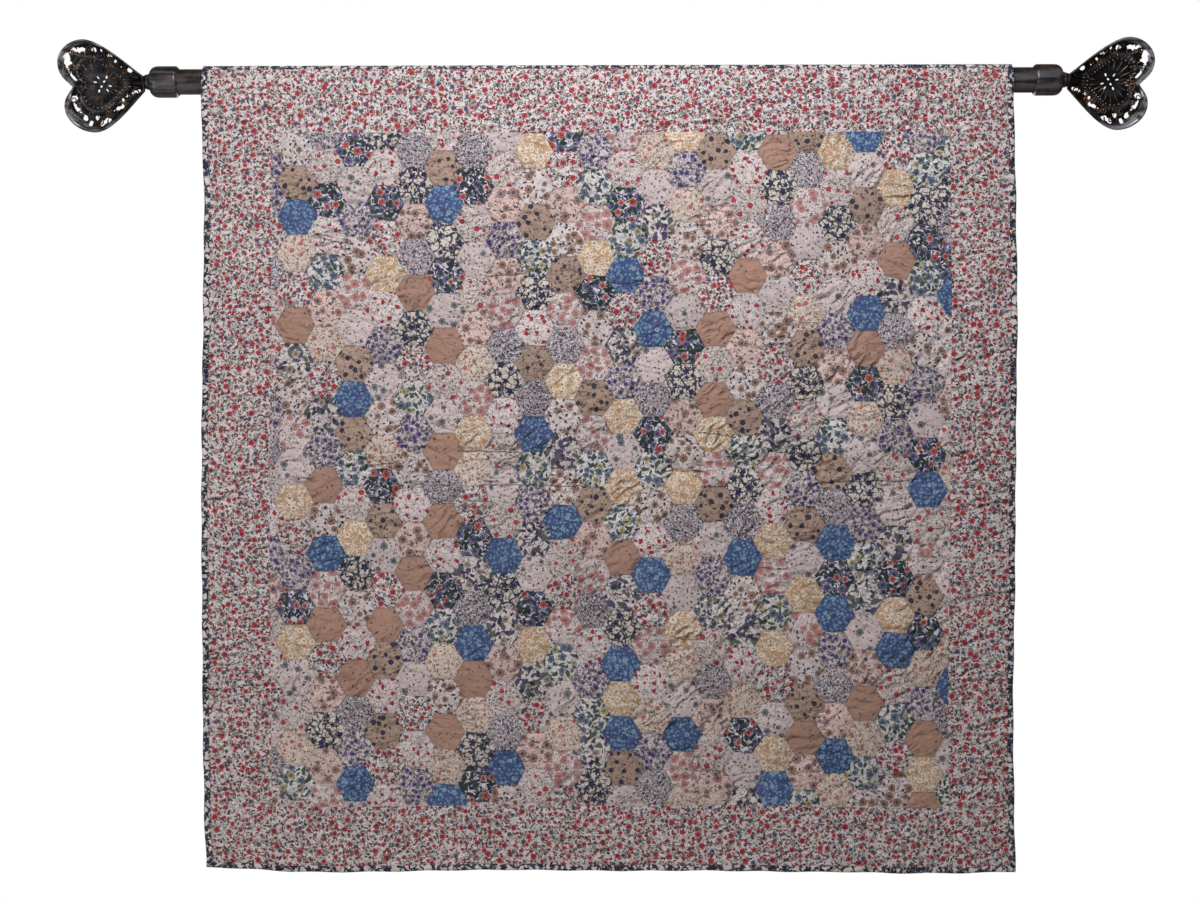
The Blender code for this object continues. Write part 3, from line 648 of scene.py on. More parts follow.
# %% Tables of the prints
Motif = namedtuple("Motif", "kind pitch size form share colour heart petals", defaults=(None, 5))
PRINTS = {
    "blue": ((96, 126, 170), (
        Motif("mottle", 3.2, 1.0, 1.2, 0.9, (55, 83, 136)),
        Motif("mottle", 9.0, 1.0, 0.8, 0.2, (85, 90, 145)),
        Motif("bloom", 4.6, 1.3, 0.0, 0.75, (128, 164, 196), (84, 118, 166)),
        Motif("bloom", 12.0, 2.5, 0.05, 0.6, (150, 180, 204), (72, 103, 149)))),
    "yellow": ((214, 172, 134), (
        Motif("stem", 13.0, 2.7, 2.4, 1.6, (252, 236, 220)),
        Motif("bloom", 12.0, 3.8, 0.10, 0.6, (252, 236, 220), (190, 148, 98)),
        Motif("leaf", 8.0, 1.8, 0.3, 0.4, (160, 124, 88)))),
    "khaki": ((195, 164, 147), (
        Motif("stem", 11.0, 0.8, 1.6, 0.8, (114, 94, 82)),
        Motif("leaf", 7.0, 1.6, 0.45, 0.65, (62, 50, 55)),
        Motif("leaf", 13.0, 2.6, 0.5, 0.5, (87, 77, 81)),
        Motif("bloom", 14.0, 3.0, 0.05, 0.85, (29, 30, 59), (50, 49, 74)))),
    "tan": ((193, 150, 132), (
        Motif("leaf", 8.0, 1.0, 0.5, 0.6, (63, 45, 46)),
        Motif("leaf", 15.0, 2.6, 0.24, 0.5, (85, 63, 60)),
        Motif("bloom", 17.0, 1.8, 0.6, 0.5, (81, 60, 58), (131, 98, 79)))),
    "pink": ((246, 212, 205), (
        Motif("stem", 11.0, 0.8, 1.8, 1.1, (103, 86, 83)),
        Motif("leaf", 7.4, 2.4, 0.30, 0.75, (59, 56, 62)),
        Motif("bloom", 17.0, 5.2, 0.16, 0.85, (165, 117, 109), (76, 84, 100), 7),
        Motif("bloom", 14.0, 2.6, 0.2, 0.6, (97, 98, 112)))),
    "navy_vine": ((238, 224, 214), (
        Motif("stem", 14.0, 2.5, 0.7, 1.8, (30, 35, 60), (80, 88, 112)),
        Motif("stem", 8.0, 1.1, 0.9, 0.6, (26, 30, 56)),
        Motif("leaf", 8.4, 3.1, 0.30, 0.5, (16, 20, 46)),
        Motif("bloom", 14.0, 4.9, 0.42, 0.75, (12, 18, 62), (34, 41, 90)))),
    "grey": ((239, 225, 229), (
        Motif("stem", 4.2, 1.2, 2.2, 1.3, (69, 67, 84)),
        Motif("leaf", 5.6, 2.3, 0.4, 0.75, (60, 60, 79)),
        Motif("bloom", 12.0, 2.2, 0.2, 0.5, (163, 115, 126)))),
    "dark_floral": ((240, 232, 240), (
        Motif("mottle", 5.6, 1.0, 1.2, 0.85, (40, 40, 68)),
        Motif("bloom", 13.0, 5.4, 0.24, 0.9, (90, 86, 131), (59, 55, 96)),
        Motif("leaf", 9.0, 4.6, 0.46, 0.8, (29, 64, 48)),
        Motif("bloom", 18.0, 4.6, 0.30, 0.65, (190, 71, 60), (144, 42, 44)))),
    "pansy": ((239, 226, 223), (
        Motif("stem", 19.0, 2.2, 3.0, 1.5, (61, 59, 79), (92, 90, 112)),
        Motif("leaf", 14.0, 7.0, 0.44, 0.8, (95, 108, 98)),
        Motif("leaf", 12.0, 6.2, 0.40, 0.7, (92, 80, 115)),
        Motif("leaf", 9.0, 3.8, 0.46, 0.55, (51, 49, 74)),
        Motif("bloom", 18.0, 4.2, 0.2, 0.4, (162, 139, 125), (123, 95, 82)))),
    "garden": ((245, 236, 235), (
        Motif("stem", 11.0, 1.0, 2.0, 1.1, (79, 89, 93)),
        Motif("leaf", 10.0, 5.2, 0.40, 0.9, (72, 96, 79)),
        Motif("leaf", 8.0, 3.4, 0.42, 0.8, (57, 69, 89)),
        Motif("bloom", 14.0, 5.0, 0.26, 0.7, (91, 108, 134), (67, 79, 105), 5),
        Motif("bloom", 22.0, 4.4, 0.34, 0.55, (179, 160, 105), (115, 117, 86), 6))),
    "plain_sprig": ((236, 215, 215), (
        Motif("stem", 12.0, 0.6, 1.6, 0.8, (140, 123, 123)),
        Motif("leaf", 6.4, 1.8, 0.46, 0.7, (66, 68, 78)),
        Motif("bloom", 19.0, 4.2, 0.16, 0.6, (112, 118, 124), (70, 76, 86), 6))),
    "red_bud": ((251, 233, 233), (
        Motif("stem", 8.5, 0.8, 1.9, 1.1, (118, 107, 106)),
        Motif("leaf", 6.0, 1.5, 0.45, 0.7, (84, 84, 93)),
        Motif("leaf", 12.0, 3.1, 0.66, 0.9, (180, 41, 55)))),
    "fine_sprig": ((243, 224, 222), (
        Motif("stem", 6.2, 0.8, 2.0, 1.2, (108, 99, 92)),
        Motif("leaf", 5.6, 1.9, 0.36, 0.75, (82, 82, 79)),
        Motif("bloom", 17.0, 3.2, 0.10, 0.8, (175, 44, 55)))),
    "rose": ((245, 224, 223), (
        Motif("stem", 7.6, 0.9, 2.0, 1.1, (119, 108, 113)),
        Motif("leaf", 8.0, 2.6, 0.4, 0.65, (97, 97, 108)),
        Motif("bloom", 13.0, 5.6, 0.22, 0.85, (193, 135, 131), (176, 108, 110), 3))),
    "cream_sprig": ((244, 220, 207), (
        Motif("stem", 8.0, 0.8, 1.9, 1.0, (126, 108, 91)),
        Motif("leaf", 6.0, 1.9, 0.36, 0.75, (96, 86, 77)),
        Motif("bloom", 14.0, 2.6, 0.12, 0.65, (188, 97, 86)))),
    "violet": ((234, 218, 218), (
        Motif("leaf", 8.0, 4.2, 0.34, 0.85, (129, 118, 101)),
        Motif("stem", 6.4, 1.1, 2.0, 1.1, (87, 81, 102)),
        Motif("leaf", 7.2, 3.5, 0.40, 0.7, (104, 96, 131)),
        Motif("bloom", 9.6, 3.3, 0.30, 0.8, (72, 60, 121), (50, 42, 94)))),
    "daisy": ((244, 227, 226), (
        Motif("stem", 9.5, 0.8, 1.9, 1.0, (104, 94, 92)),
        Motif("leaf", 7.0, 2.4, 0.50, 0.8, (52, 55, 67)),
        Motif("bloom", 15.0, 5.0, 0.14, 0.8, (158, 113, 94), (72, 82, 89), 9))),
    "meadow": ((247, 234, 235), (
        Motif("stem", 8.4, 0.9, 2.0, 1.3, (84, 78, 68)),
        Motif("leaf", 6.2, 2.3, 0.38, 0.85, (34, 34, 48)),
        Motif("leaf", 7.4, 2.7, 0.34, 0.6, (100, 92, 78)),
        Motif("bloom", 10.0, 2.5, 0.1, 0.45, (112, 104, 90), (226, 212, 200)),
        Motif("bloom", 14.0, 3.0, 0.24, 0.7, (89, 89, 112), (60, 62, 89)),
        Motif("leaf", 8.4, 2.6, 0.56, 0.85, (176, 42, 56)),
        Motif("bloom", 18.0, 3.7, 0.24, 0.9, (182, 48, 60), (154, 32, 48)))),
    "binding": ((252, 238, 233), (
        Motif("stem", 12.0, 3.2, 0.8, 1.8, (24, 28, 54), (70, 76, 102)),
        Motif("leaf", 9.0, 4.0, 0.30, 0.7, (16, 19, 44)),
        Motif("bloom", 14.0, 5.4, 0.40, 0.8, (12, 16, 58), (34, 39, 82)))),
    "calico": ((206, 192, 170), (
        Motif("mottle", 1.6, 2.0, 0.4, 0.25, (180, 164, 140)),)),
}
print(len(PRINTS), "prints")

# %% [markdown]
# The ground is laid first, then each motif in the table's order. Every printing has its
# own seed, so no two share their cells. A flower clears its ring of ground before its
# petals are printed, and these are paler round the heart.

# %% Print one motif
HEART_PALER = 0.15        # how far toward white a petal starts at the heart
MOTIF_GROUPS = {"bloom": bloom_group, "leaf": leaf_group, "stem": stem_group, "mottle": mottle_group}


def screen_colour(rgb):
    """A screen colour, 0 to 255, as the linear light values that shaders use."""
    shares = [value / 255 for value in rgb]
    return tuple(s / 12.92 if s <= 0.04045 else ((s + 0.055) / 1.055) ** 2.4 for s in shares) + (1.0,)


def lay_motif(graph, motif, seed, place, colour, ground):
    """Print one motif over the colour so far."""
    node = graph.add("ShaderNodeGroup", node_tree=MOTIF_GROUPS[motif.kind])
    values = {"Place": place, "Pitch": motif.pitch, "Size": motif.size, "Form": motif.form,
              "Share": motif.share, "Seed": seed}
    for name, value in values.items():
        graph.feed(node.inputs[name], value)
    ink = screen_colour(motif.colour)
    if motif.kind != "bloom":
        colour = graph.mix(node.outputs[0], colour, ink)
        if motif.heart:
            colour = graph.mix(node.outputs["Core"], colour, screen_colour(motif.heart))
        return colour
    node.inputs["Petals"].default_value = motif.petals
    pale = screen_colour([value + (255 - value) * HEART_PALER for value in motif.colour])
    colour = graph.mix(node.outputs["Clear"], colour, ground)
    veined = graph.mix(graph.step(node.outputs["Shade"], 0.3, 1.0), pale, ink)
    colour = graph.mix(node.outputs["Petal"], colour, veined)
    if motif.heart:
        colour = graph.mix(node.outputs["Heart"], colour, screen_colour(motif.heart))
    return colour


print("white as light values:", screen_colour((255, 255, 255)))

# %% Turn a row of the table into a material
FIRST_SEED, SEED_STEP = 3.1, 7.3


def cotton_print(name):
    ground, motifs = PRINTS[name]
    material = bpy.data.materials.new(name)
    material.use_nodes = True
    graph = Graph(material.node_tree)
    shader = material.node_tree.nodes["Principled BSDF"]
    maps = {}
    for label in ("yardage", "flat", "sewing", "tuck"):
        maps[label] = graph.add("ShaderNodeUVMap", uv_map=label).outputs[0]
    if name == "calico":
        maps["tuck"] = None               # the lining was not pressed with the patches
    place = graph.vector('SCALE', maps["yardage"], scale=1000.0)
    flat = graph.vector('SCALE', maps["flat"], scale=1000.0)
    ground = colour = screen_colour(ground)
    for index, motif in enumerate(motifs):
        colour = lay_motif(graph, motif, FIRST_SEED + SEED_STEP * index, place, colour, ground)
    cotton = graph.add("ShaderNodeGroup", node_tree=cotton_group)
    for label, value in (("Colour", colour), ("Yardage", place), ("Flat", flat),
                         ("Sewing", maps["sewing"]), ("Tuck", maps["tuck"])):
        graph.feed(cotton.inputs[label], value)
    bump = graph.add("ShaderNodeBump", {"Strength": 1.0, "Distance": 0.001,
                                        "Height": cotton.outputs["Height"]})
    graph.feed(shader.inputs["Base Color"], cotton.outputs["Colour"])
    graph.feed(shader.inputs["Normal"], bump.outputs[0])
    shader.inputs["Roughness"].default_value = 0.9
    shader.inputs["Sheen Weight"].default_value = 0.08
    shader.inputs["Sheen Roughness"].default_value = 0.6
    shader.inputs["Specular IOR Level"].default_value = 0.2
    return material


cottons = {name: cotton_print(name) for name in PRINTS}
print("made", len(cottons), "cottons")

# %% [markdown]
# ## The patchwork
# The patches are hexagons an inch a side, folded over papers and whipped together edge to
# edge. Hand sewing draws them off their lattice here and there, by the few millimetres
# that a table gives.

# %% Lattice of the hexagons
COLUMN_PITCH, ROW_PITCH = 0.0379, 0.0446
FIRST_COLUMN, FIRST_ROW = 0.0292, -0.0024
ROW_FALL, COLUMN_LEAN = 0.00043, 0.00006
COLUMNS, ROWS = range(-1, 24), range(-1, 21)
FIELD = (FIELD_LEFT, FIELD_TOP, FIELD_RIGHT, FIELD_BOTTOM)
Drift = namedtuple("Drift", "across drop reach to_right down")
DRIFTS = (  # places, and how far in mm the patches are drawn off there
    Drift(-0.206, 0.178, 0.055, -3.3, 0.7),
    Drift(-0.390, 0.194, 0.055, 3.4, -4.0),
    Drift(0.200, 0.160, 0.150, 4.6, -1.3),
    Drift(0.360, 0.130, 0.080, 0.0, -2.4),
    Drift(-0.170, 0.250, 0.070, 0.8, 2.6),
    Drift(0.057, 0.338, 0.055, -3.4, 1.6),
    Drift(-0.250, 0.390, 0.090, -1.0, 2.2),
    Drift(-0.321, 0.426, 0.055, -0.9, 3.0),
    Drift(-0.094, 0.469, 0.055, -1.4, 0.7),
    Drift(0.060, 0.470, 0.100, -2.2, -0.8),
    Drift(-0.255, 0.530, 0.060, -3.2, 3.4),
    Drift(0.160, 0.530, 0.070, 1.2, -2.4),
    Drift(0.298, 0.530, 0.050, -3.4, 0.0),
    Drift(0.404, 0.540, 0.055, 5.0, -0.7),
    Drift(0.287, 0.608, 0.055, 2.5, 0.6),
    Drift(-0.356, 0.622, 0.055, 3.8, -1.0),
    Drift(0.169, 0.626, 0.055, -1.9, -1.3),
    Drift(0.045, 0.649, 0.060, -3.8, -0.6),
    Drift(-0.330, 0.740, 0.070, 4.0, -0.6),
    Drift(0.016, 0.780, 0.080, -4.4, 0.6),
    Drift(-0.110, 0.810, 0.060, 0.0, 2.6),
    Drift(0.093, 0.849, 0.055, -1.5, 0.0),
    Drift(0.260, 0.830, 0.100, 1.6, 3.0),
    Drift(0.390, 0.780, 0.080, 3.2, 1.8),
    Drift(-0.160, 0.910, 0.070, 4.4, 1.0),
)


def lattice_place(column, row):
    """Flat places from counts of columns and rows."""
    u = FIELD_LEFT + FIRST_COLUMN + COLUMN_PITCH * column + COLUMN_LEAN * row
    v = FIELD_TOP + FIRST_ROW + ROW_PITCH * row + ROW_FALL * column
    near = [np.exp(-((u - at.across) ** 2 + (v - at.drop) ** 2) / at.reach**2) for at in DRIFTS]
    return (u + sum(share * at.to_right for share, at in zip(near, DRIFTS)) / 1000,
            v + sum(share * at.down for share, at in zip(near, DRIFTS)) / 1000)


print("pitch of the patches:", COLUMN_PITCH, "across and", ROW_PITCH, "down")

# %% [markdown]
# Each patch is a fan of six triangles, split finely, and the fine points meet along the
# seams, so the whole front is one sheet of cloth.

# %% One patch as a fan of fine triangles
PATCH_SPLIT = 8               # rows of small triangles from a patch's middle to its seam
SEAM_CROWDING = 1.3           # draws those rows toward the seam
APOTHEM = ROW_PITCH / 2
HEX_CORNERS = ((4, 0), (2, 3), (-2, 3), (-4, 0), (-2, -3), (2, -3))   # in sixths of a pitch


def fan_point(sextant, i, j):
    """A fine point in pitches from its patch's middle, and its share of the way out."""
    first, second = HEX_CORNERS[sextant], HEX_CORNERS[(sextant + 1) % 6]
    ring = i + j
    reach = 1.0 - (1.0 - ring / PATCH_SPLIT) ** SEAM_CROWDING
    turn = j / ring if ring else 0.0
    return tuple(reach * ((1 - turn) * a + turn * b) / 6 for a, b in zip(first, second)), reach


def patch_fan():
    """One patch's fine points, their distances from its seam, and its triangles."""
    points, seam, faces = [], [], []
    known = {}
    for sextant in range(6):
        here = {}
        for i in range(PATCH_SPLIT + 1):
            for j in range(PATCH_SPLIT + 1 - i):
                place, reach = fan_point(sextant, i, j)
                key = (round(place[0] * 1e5), round(place[1] * 1e5))
                if key not in known:
                    known[key] = len(points)
                    points.append(place)
                    seam.append((1.0 - reach) * APOTHEM)
                here[i, j] = known[key]
        for i in range(PATCH_SPLIT):
            for j in range(PATCH_SPLIT - i):
                faces.append((here[i, j], here[i + 1, j], here[i, j + 1]))
                if i + j < PATCH_SPLIT - 1:
                    faces.append((here[i + 1, j], here[i + 1, j + 1], here[i, j + 1]))
    return np.array(points), np.array(seam), np.array(faces)


fan_points, fan_seam, fan_faces = patch_fan()
print("one patch:", len(fan_points), "points,", len(fan_faces), "triangles")

# %% Lay every hexagon in the flat
def flat_patchwork():
    """All patches as one flat sheet, each face marked with its patch."""
    places, seams, faces, owners, patches = [], [], [], [], []
    for column in COLUMNS:
        for row in ROWS:
            middle = np.array((column, row + (0.5 if column % 2 == 0 else 0.0)))
            faces.append(fan_faces + len(places) * len(fan_points))
            owners.append(np.full(len(fan_faces), len(patches)))
            places.append(fan_points + middle)
            seams.append(fan_seam)
            patches.append((column, row))
    places, seams = np.concatenate(places), np.concatenate(seams)
    keys = np.round(places * 1e4).astype(int)
    _, first, same = np.unique(keys, axis=0, return_index=True, return_inverse=True)
    faces = same.reshape(-1)[np.concatenate(faces)]
    u, v = lattice_place(*places[first].T)
    return np.stack((u, v), axis=1), seams[first], faces, np.concatenate(owners), patches


print("hexagons to lay:", len(COLUMNS) * len(ROWS))

# %% [markdown]
# The sheet is then cut to the field, given a back, and closed all round. Its face and its
# back have different points along the edges, so the sides are joined point by point.

# %% Cut a sheet and close its sides
def steps_between(start, end, longest):
    """Even places from start to end, no further apart than the longest step."""
    count = max(1, math.ceil((end - start) / longest - 1e-6))
    return [start + (end - start) * index / count for index in range(count + 1)]


def cut_away(shape, point, outward):
    """Cut the flat sheet along a line, and drop the side that outward points to."""
    bmesh.ops.bisect_plane(
        shape, geom=shape.verts[:] + shape.edges[:] + shape.faces[:], dist=1e-6,
        plane_co=(*point, 0.0), plane_no=(*outward, 0.0), clear_outer=True)


def way_round(u, v, box):
    """How far round a box's outline a point is, from its top left corner."""
    left, top, right, bottom = box
    width, height = right - left, bottom - top
    sides = ((abs(v - top), u - left), (abs(u - right), width + v - top),
             (abs(v - bottom), width + height + right - u),
             (abs(u - left), 2 * width + height + bottom - v))
    return min(sides)[1] % (2 * (width + height))


def outline(verts, box):
    """The open edge's points of a sheet, in order round its box."""
    edge = [vert for vert in verts if any(len(link.link_faces) == 1 for link in vert.link_edges)]
    return sorted(edge, key=lambda vert: way_round(vert.co.x, vert.co.y, box))


def close_sides(shape, face_loop, back_loop, box):
    """Join two outlines that have different points, taking the nearer next point."""
    around = 2 * (box[2] - box[0] + box[3] - box[1])
    face_at = [way_round(vert.co.x, vert.co.y, box) for vert in face_loop] + [around]
    back_at = [way_round(vert.co.x, vert.co.y, box) for vert in back_loop] + [around]
    here, there = 0, 0
    while here < len(face_loop) or there < len(back_loop):
        face_vert = face_loop[here % len(face_loop)]
        back_vert = back_loop[there % len(back_loop)]
        face_is_next = there >= len(back_loop) or (
            here < len(face_loop) and face_at[here + 1] <= back_at[there + 1])
        if face_is_next:
            here += 1
            shape.faces.new((face_vert, face_loop[here % len(face_loop)], back_vert))
        else:
            there += 1
            shape.faces.new((face_vert, back_loop[there % len(back_loop)], back_vert))


print("steps over 20 mm:", steps_between(0.0, 0.020, 0.009))

# %% [markdown]
# ## The piecing plan
# The order of the patches is a chart, as a quilter would keep one: one row of letters for
# each row of hexagons, one letter per column. A dot is a pale patch, dealt out from the
# pale prints by a seeded shuffle, so the same quilt comes out each time.

# %% Chart of the patches
LETTERS = {
    "b": "blue", "y": "yellow", "k": "khaki", "t": "tan", "d": "pink", "v": "navy_vine",
    "g": "grey", "f": "dark_floral", "w": "pansy", "n": "garden", "s": "plain_sprig",
    "r": "red_bud", "c": "fine_sprig", "o": "rose", "e": "cream_sprig", "l": "violet",
    "m": "meadow", "a": "daisy",
}
PALE = "srcodealmg"
CHART = [
    "agfvgrgsyfloeykntkybmln",
    "kcsrvkfcamncslsrvgcsynv",
    "bflfdbcdkdofwedcgovkcvg",
    "eramgvslnaynmavrdsadtff",
    "mnoytfcdvkfblomtsmsrwnb",
    "tdsrvsdoroambstraelbgra",
    "weklmtegkgowsfcdmkdtear",
    "ambsncovgyklgvtagvsfvld",
    "owkalsyrbaoyfdykwcnelsc",
    "slneatecnwnsnaonovkscfe",
    "ytcfrgmslakyaykvrlgvsbc",
    "maykdtfcwbdnrgsgykblwcs",
    "lbvstrwbscotbelbosfnfor",
    "foamofgvfmgwmsnanybwykc",
    "ytrtlnbwyorvoycwyolsbfe",
    "smtksetdwnlbregrmagdceb",
    "cdgrmaecmsnyesdeskdtnlg",
    "evlkrtvgdewblbcfytbemts",
    "ndbmlefbcovkgodsbdenayn",
    ".o.r.b.a.m.s.e.w.n.a.t.",
]


def patch_letter(column, row):
    """A patch's letter: the chart's, or a pale one by chance for a dot and beyond the chart."""
    if 0 <= row < len(CHART) and 0 <= column < len(CHART[0]) and CHART[row][column] != ".":
        return CHART[row][column]
    return random.choice(PALE)


random.seed(11)
print("chart:", len(CHART), "rows of", len(CHART[0]))

# %% [markdown]
# ## Puckers, pinched lines and tucks
# Where two patches are whipped together the cloth sinks into the seam and puckers a
# little. Sharper lines run over the quilt where it has lain folded. They are given as
# short soft troughs that wander slightly.

# %% Shape of the quilt's face
CROWN = 0.0016
EDGE_EASE = 0.0045            # how shallow the joins to the borders lie
SEAM_SLIP = 0.0021            # how far a seam wanders off its line
PUCKER_HEIGHT, PUCKER_LENGTH, PUCKER_DRAW = 0.00044, 0.0095, 0.55     # drawn out sideways
Pinch = namedtuple("Pinch", "across drop to_across to_drop depth width")
PINCHES = (
    Pinch(-0.263, 0.492, -0.120, 0.490, 0.0012, 0.0036),
    Pinch(-0.161, 0.491, 0.017, 0.494, 0.0016, 0.0036),
    Pinch(-0.161, 0.533, -0.047, 0.535, 0.0011, 0.0034),
    Pinch(0.055, 0.535, 0.118, 0.531, 0.0010, 0.0034),
    Pinch(0.259, 0.533, 0.386, 0.537, 0.0012, 0.0034),
    Pinch(-0.411, 0.508, -0.060, 0.514, 0.0009, 0.0036),
    Pinch(-0.060, 0.514, 0.429, 0.518, 0.0009, 0.0036),
    Pinch(0.182, 0.457, 0.350, 0.406, 0.0010, 0.0034),
    Pinch(0.182, 0.466, 0.334, 0.544, 0.0010, 0.0034),
    Pinch(-0.259, 0.285, -0.262, 0.527, 0.0009, 0.0034),
    Pinch(-0.013, 0.090, -0.010, 0.470, 0.0010, 0.0034),
    Pinch(-0.010, 0.470, -0.012, 0.936, 0.0010, 0.0034),
    Pinch(0.020, 0.458, 0.018, 0.718, 0.0009, 0.0034),
)


def smooth_noise(u, v, length, seed):
    """Perlin noise at many places, from -1 to 1, with bumps about a length apart."""
    return np.array([noise.noise((a / length, b / length, seed)) for a, b in zip(u, v)])


def pinch_depth(u, v):
    """How deep the pinched lines are, each one wandering a little."""
    wander_u = 0.0022 * smooth_noise(u, v, 0.035, 5.0)
    wander_v = 0.0022 * smooth_noise(u, v, 0.035, 9.0)
    return sum(crease_depth(pinch, u + wander_u, v + wander_v) for pinch in PINCHES)


def face_relief(u, v, soft_seam):
    """Puckers and pinched lines of the quilt's face, fading out at its seams."""
    along = u * PUCKER_DRAW + 0.3 * v
    broad = smooth_noise(along, v, PUCKER_LENGTH, 2.0)
    pucker = broad + 0.4 * smooth_noise(u, v, PUCKER_LENGTH / 2, 3.0)
    return PUCKER_HEIGHT * pucker * soft_seam - pinch_depth(u, v) * soft_seam


print(len(PINCHES), "pinched lines")

# %% [markdown]
# The tucks are too thin for the mesh. Each face corner stores how far it lies from the
# nearest one, and the cotton's finish sinks the height there and draws the line in painted
# shade.

# %% Map of the tucks
Tuck = namedtuple("Tuck", "across drop to_across to_drop")
# Each tuck is drawn as a thin line of painted shade, and a dip in the height.
TUCKS = (  # thin dark lines where the cloth was pressed into a sharp fold
    Tuck(-0.189, 0.491, -0.110, 0.493),
    Tuck(-0.096, 0.488, -0.070, 0.486),
    Tuck(-0.161, 0.534, -0.034, 0.536),
    Tuck(-0.398, 0.523, -0.378, 0.526),
    Tuck(-0.302, 0.516, -0.262, 0.511),
    Tuck(0.073, 0.517, 0.118, 0.516),
    Tuck(0.149, 0.498, 0.188, 0.499),
    Tuck(0.121, 0.536, 0.149, 0.537),
    Tuck(0.264, 0.531, 0.383, 0.528),
    Tuck(0.115, 0.468, 0.158, 0.473),
    Tuck(0.081, 0.727, 0.115, 0.730),
    Tuck(0.005, 0.280, 0.043, 0.280),
    Tuck(-0.372, 0.221, -0.327, 0.230),
    Tuck(-0.155, 0.271, -0.105, 0.267),
    Tuck(0.315, 0.642, 0.352, 0.640),
)
TUCK_REACH = 0.016            # how far to either side a tuck is felt


def tuck_map(u, v):
    """The nearest tuck: how far below it each point is, in mm, and how near, 0 to 1."""
    below, near = np.zeros_like(u), np.zeros_like(u)
    for tuck in TUCKS:
        run = np.array((tuck.to_across - tuck.across, tuck.to_drop - tuck.drop))
        run, length = run / np.hypot(*run), np.hypot(*run)
        along = (u - tuck.across) * run[0] + (v - tuck.drop) * run[1]
        off = (v - tuck.drop) * run[0] - (u - tuck.across) * run[1]
        past = np.maximum(np.maximum(-along, along - length), 0.0)
        here = 1.0 - np.hypot(off, 3.0 * past) / TUCK_REACH
        below, near = np.where(here > near, off * 1000, below), np.maximum(here, near)
    return np.stack((below, near), axis=-1)


print(len(TUCKS), "tucks")

# %% [markdown]
# Every sheet is finished in the same way. It is hung by the drape, its materials and flat
# maps are stored corner by corner, and its shading is smoothed up to an angle.

# %% Finish a piece of cloth
UNSEWN = (20.0, 0.5)          # a sewing map far from any seam: mm to it, and a middle tone


def read_shape(shape):
    """The shape's flat points and its faces' corners as arrays. Every face is a triangle."""
    shape.verts.index_update()
    flat = np.array([vert.co for vert in shape.verts])
    corners = np.array([[vert.index for vert in face.verts] for face in shape.faces])
    return flat, corners


def finish_piece(name, shape, flat, materials, faces_material, maps):
    """Hang a shape, and store its materials and flat maps, one entry per face corner."""
    for vert, place in zip(shape.verts, drape(flat)):
        vert.co = place
    mesh = bpy.data.meshes.new(name)
    shape.to_mesh(mesh)
    shape.free()
    piece = bpy.data.objects.new(name, mesh)
    bpy.context.scene.collection.objects.link(piece)
    for material in materials:
        mesh.materials.append(material)
    mesh.polygons.foreach_set("material_index", faces_material)
    maps = {**maps, "tuck": tuck_map(maps["flat"][..., 0], maps["flat"][..., 1])}
    for label, values in maps.items():
        layer = mesh.uv_layers.new(name=label)
        layer.data.foreach_set("uv", np.asarray(values, dtype=np.float32).ravel())
    return piece


def choose_only(piece):
    bpy.ops.object.select_all(action='DESELECT')
    piece.select_set(True)
    bpy.context.view_layer.objects.active = piece


def smooth_to(piece, degrees):
    """Shade a piece smooth wherever its faces meet at less than an angle."""
    choose_only(piece)
    bpy.ops.object.shade_smooth_by_angle(angle=math.radians(degrees), keep_sharp_edges=True)
    piece.select_set(False)


print("cloth helpers ready")

# %% [markdown]
# All hexagons are laid out, and the sheet is cut to the field. Each point keeps its
# distance from the nearest seam, and each face remembers its patch.

# %% Lay out the patches and cut them to the field
flat_uv, flat_seam, flat_faces, flat_owner, patches = flat_patchwork()
sheet = bpy.data.meshes.new("flat_patchwork")
sheet.from_pydata([(u, v, 0.0) for u, v in flat_uv], [], flat_faces.tolist())
shape = bmesh.new()
shape.from_mesh(sheet)
bpy.data.meshes.remove(sheet)
seam_layer = shape.verts.layers.float.new("seam")
front_layer = shape.verts.layers.float.new("front")
patch_layer = shape.faces.layers.int.new("patch")      # counted from 1; 0 is the back
for vert, seam in zip(shape.verts, flat_seam):
    vert[seam_layer], vert[front_layer] = seam, 1.0
for face, owner in zip(shape.faces, flat_owner):
    face[patch_layer] = owner + 1
for point, outward in (((FIELD_LEFT, FIELD_TOP), (-1, 0)), ((FIELD_RIGHT, FIELD_TOP), (1, 0)),
                       ((FIELD_LEFT, FIELD_TOP), (0, -1)), ((FIELD_LEFT, FIELD_BOTTOM), (0, 1))):
    cut_away(shape, point, outward)
bmesh.ops.dissolve_degenerate(shape, edges=shape.edges, dist=0.0003)
bmesh.ops.triangulate(shape, faces=shape.faces)
for edge in shape.edges:
    if all(vert[seam_layer] < 1e-6 for vert in edge.verts):
        edge.smooth = False
print(len(patches), "patches laid,", len(shape.faces), "triangles kept")

# %% Give the sheet a back and sides
BACK_STEP = 0.009
face_loop = outline(shape.verts[:], FIELD)
across = steps_between(FIELD_LEFT, FIELD_RIGHT, BACK_STEP)
down = steps_between(FIELD_TOP, FIELD_BOTTOM, BACK_STEP)
rows = [[shape.verts.new((u, v, BACK)) for u in across] for v in down]
for upper, lower in zip(rows, rows[1:]):
    for index in range(len(across) - 1):
        shape.faces.new((upper[index], lower[index], lower[index + 1]))
        shape.faces.new((upper[index], lower[index + 1], upper[index + 1]))
close_sides(shape, face_loop, outline([vert for row in rows for vert in row], FIELD), FIELD)
shape.verts.ensure_lookup_table()
shape.faces.ensure_lookup_table()
flat, corners = read_shape(shape)
seam = np.array([vert[seam_layer] for vert in shape.verts])
owner = np.array([face[patch_layer] for face in shape.faces]) - 1
is_front = np.array([vert[front_layer] for vert in shape.verts]) > 0.5
is_back_face = owner < 0
print("closed sheet:", len(corners), "triangles,", int(is_back_face.sum()), "of them behind")

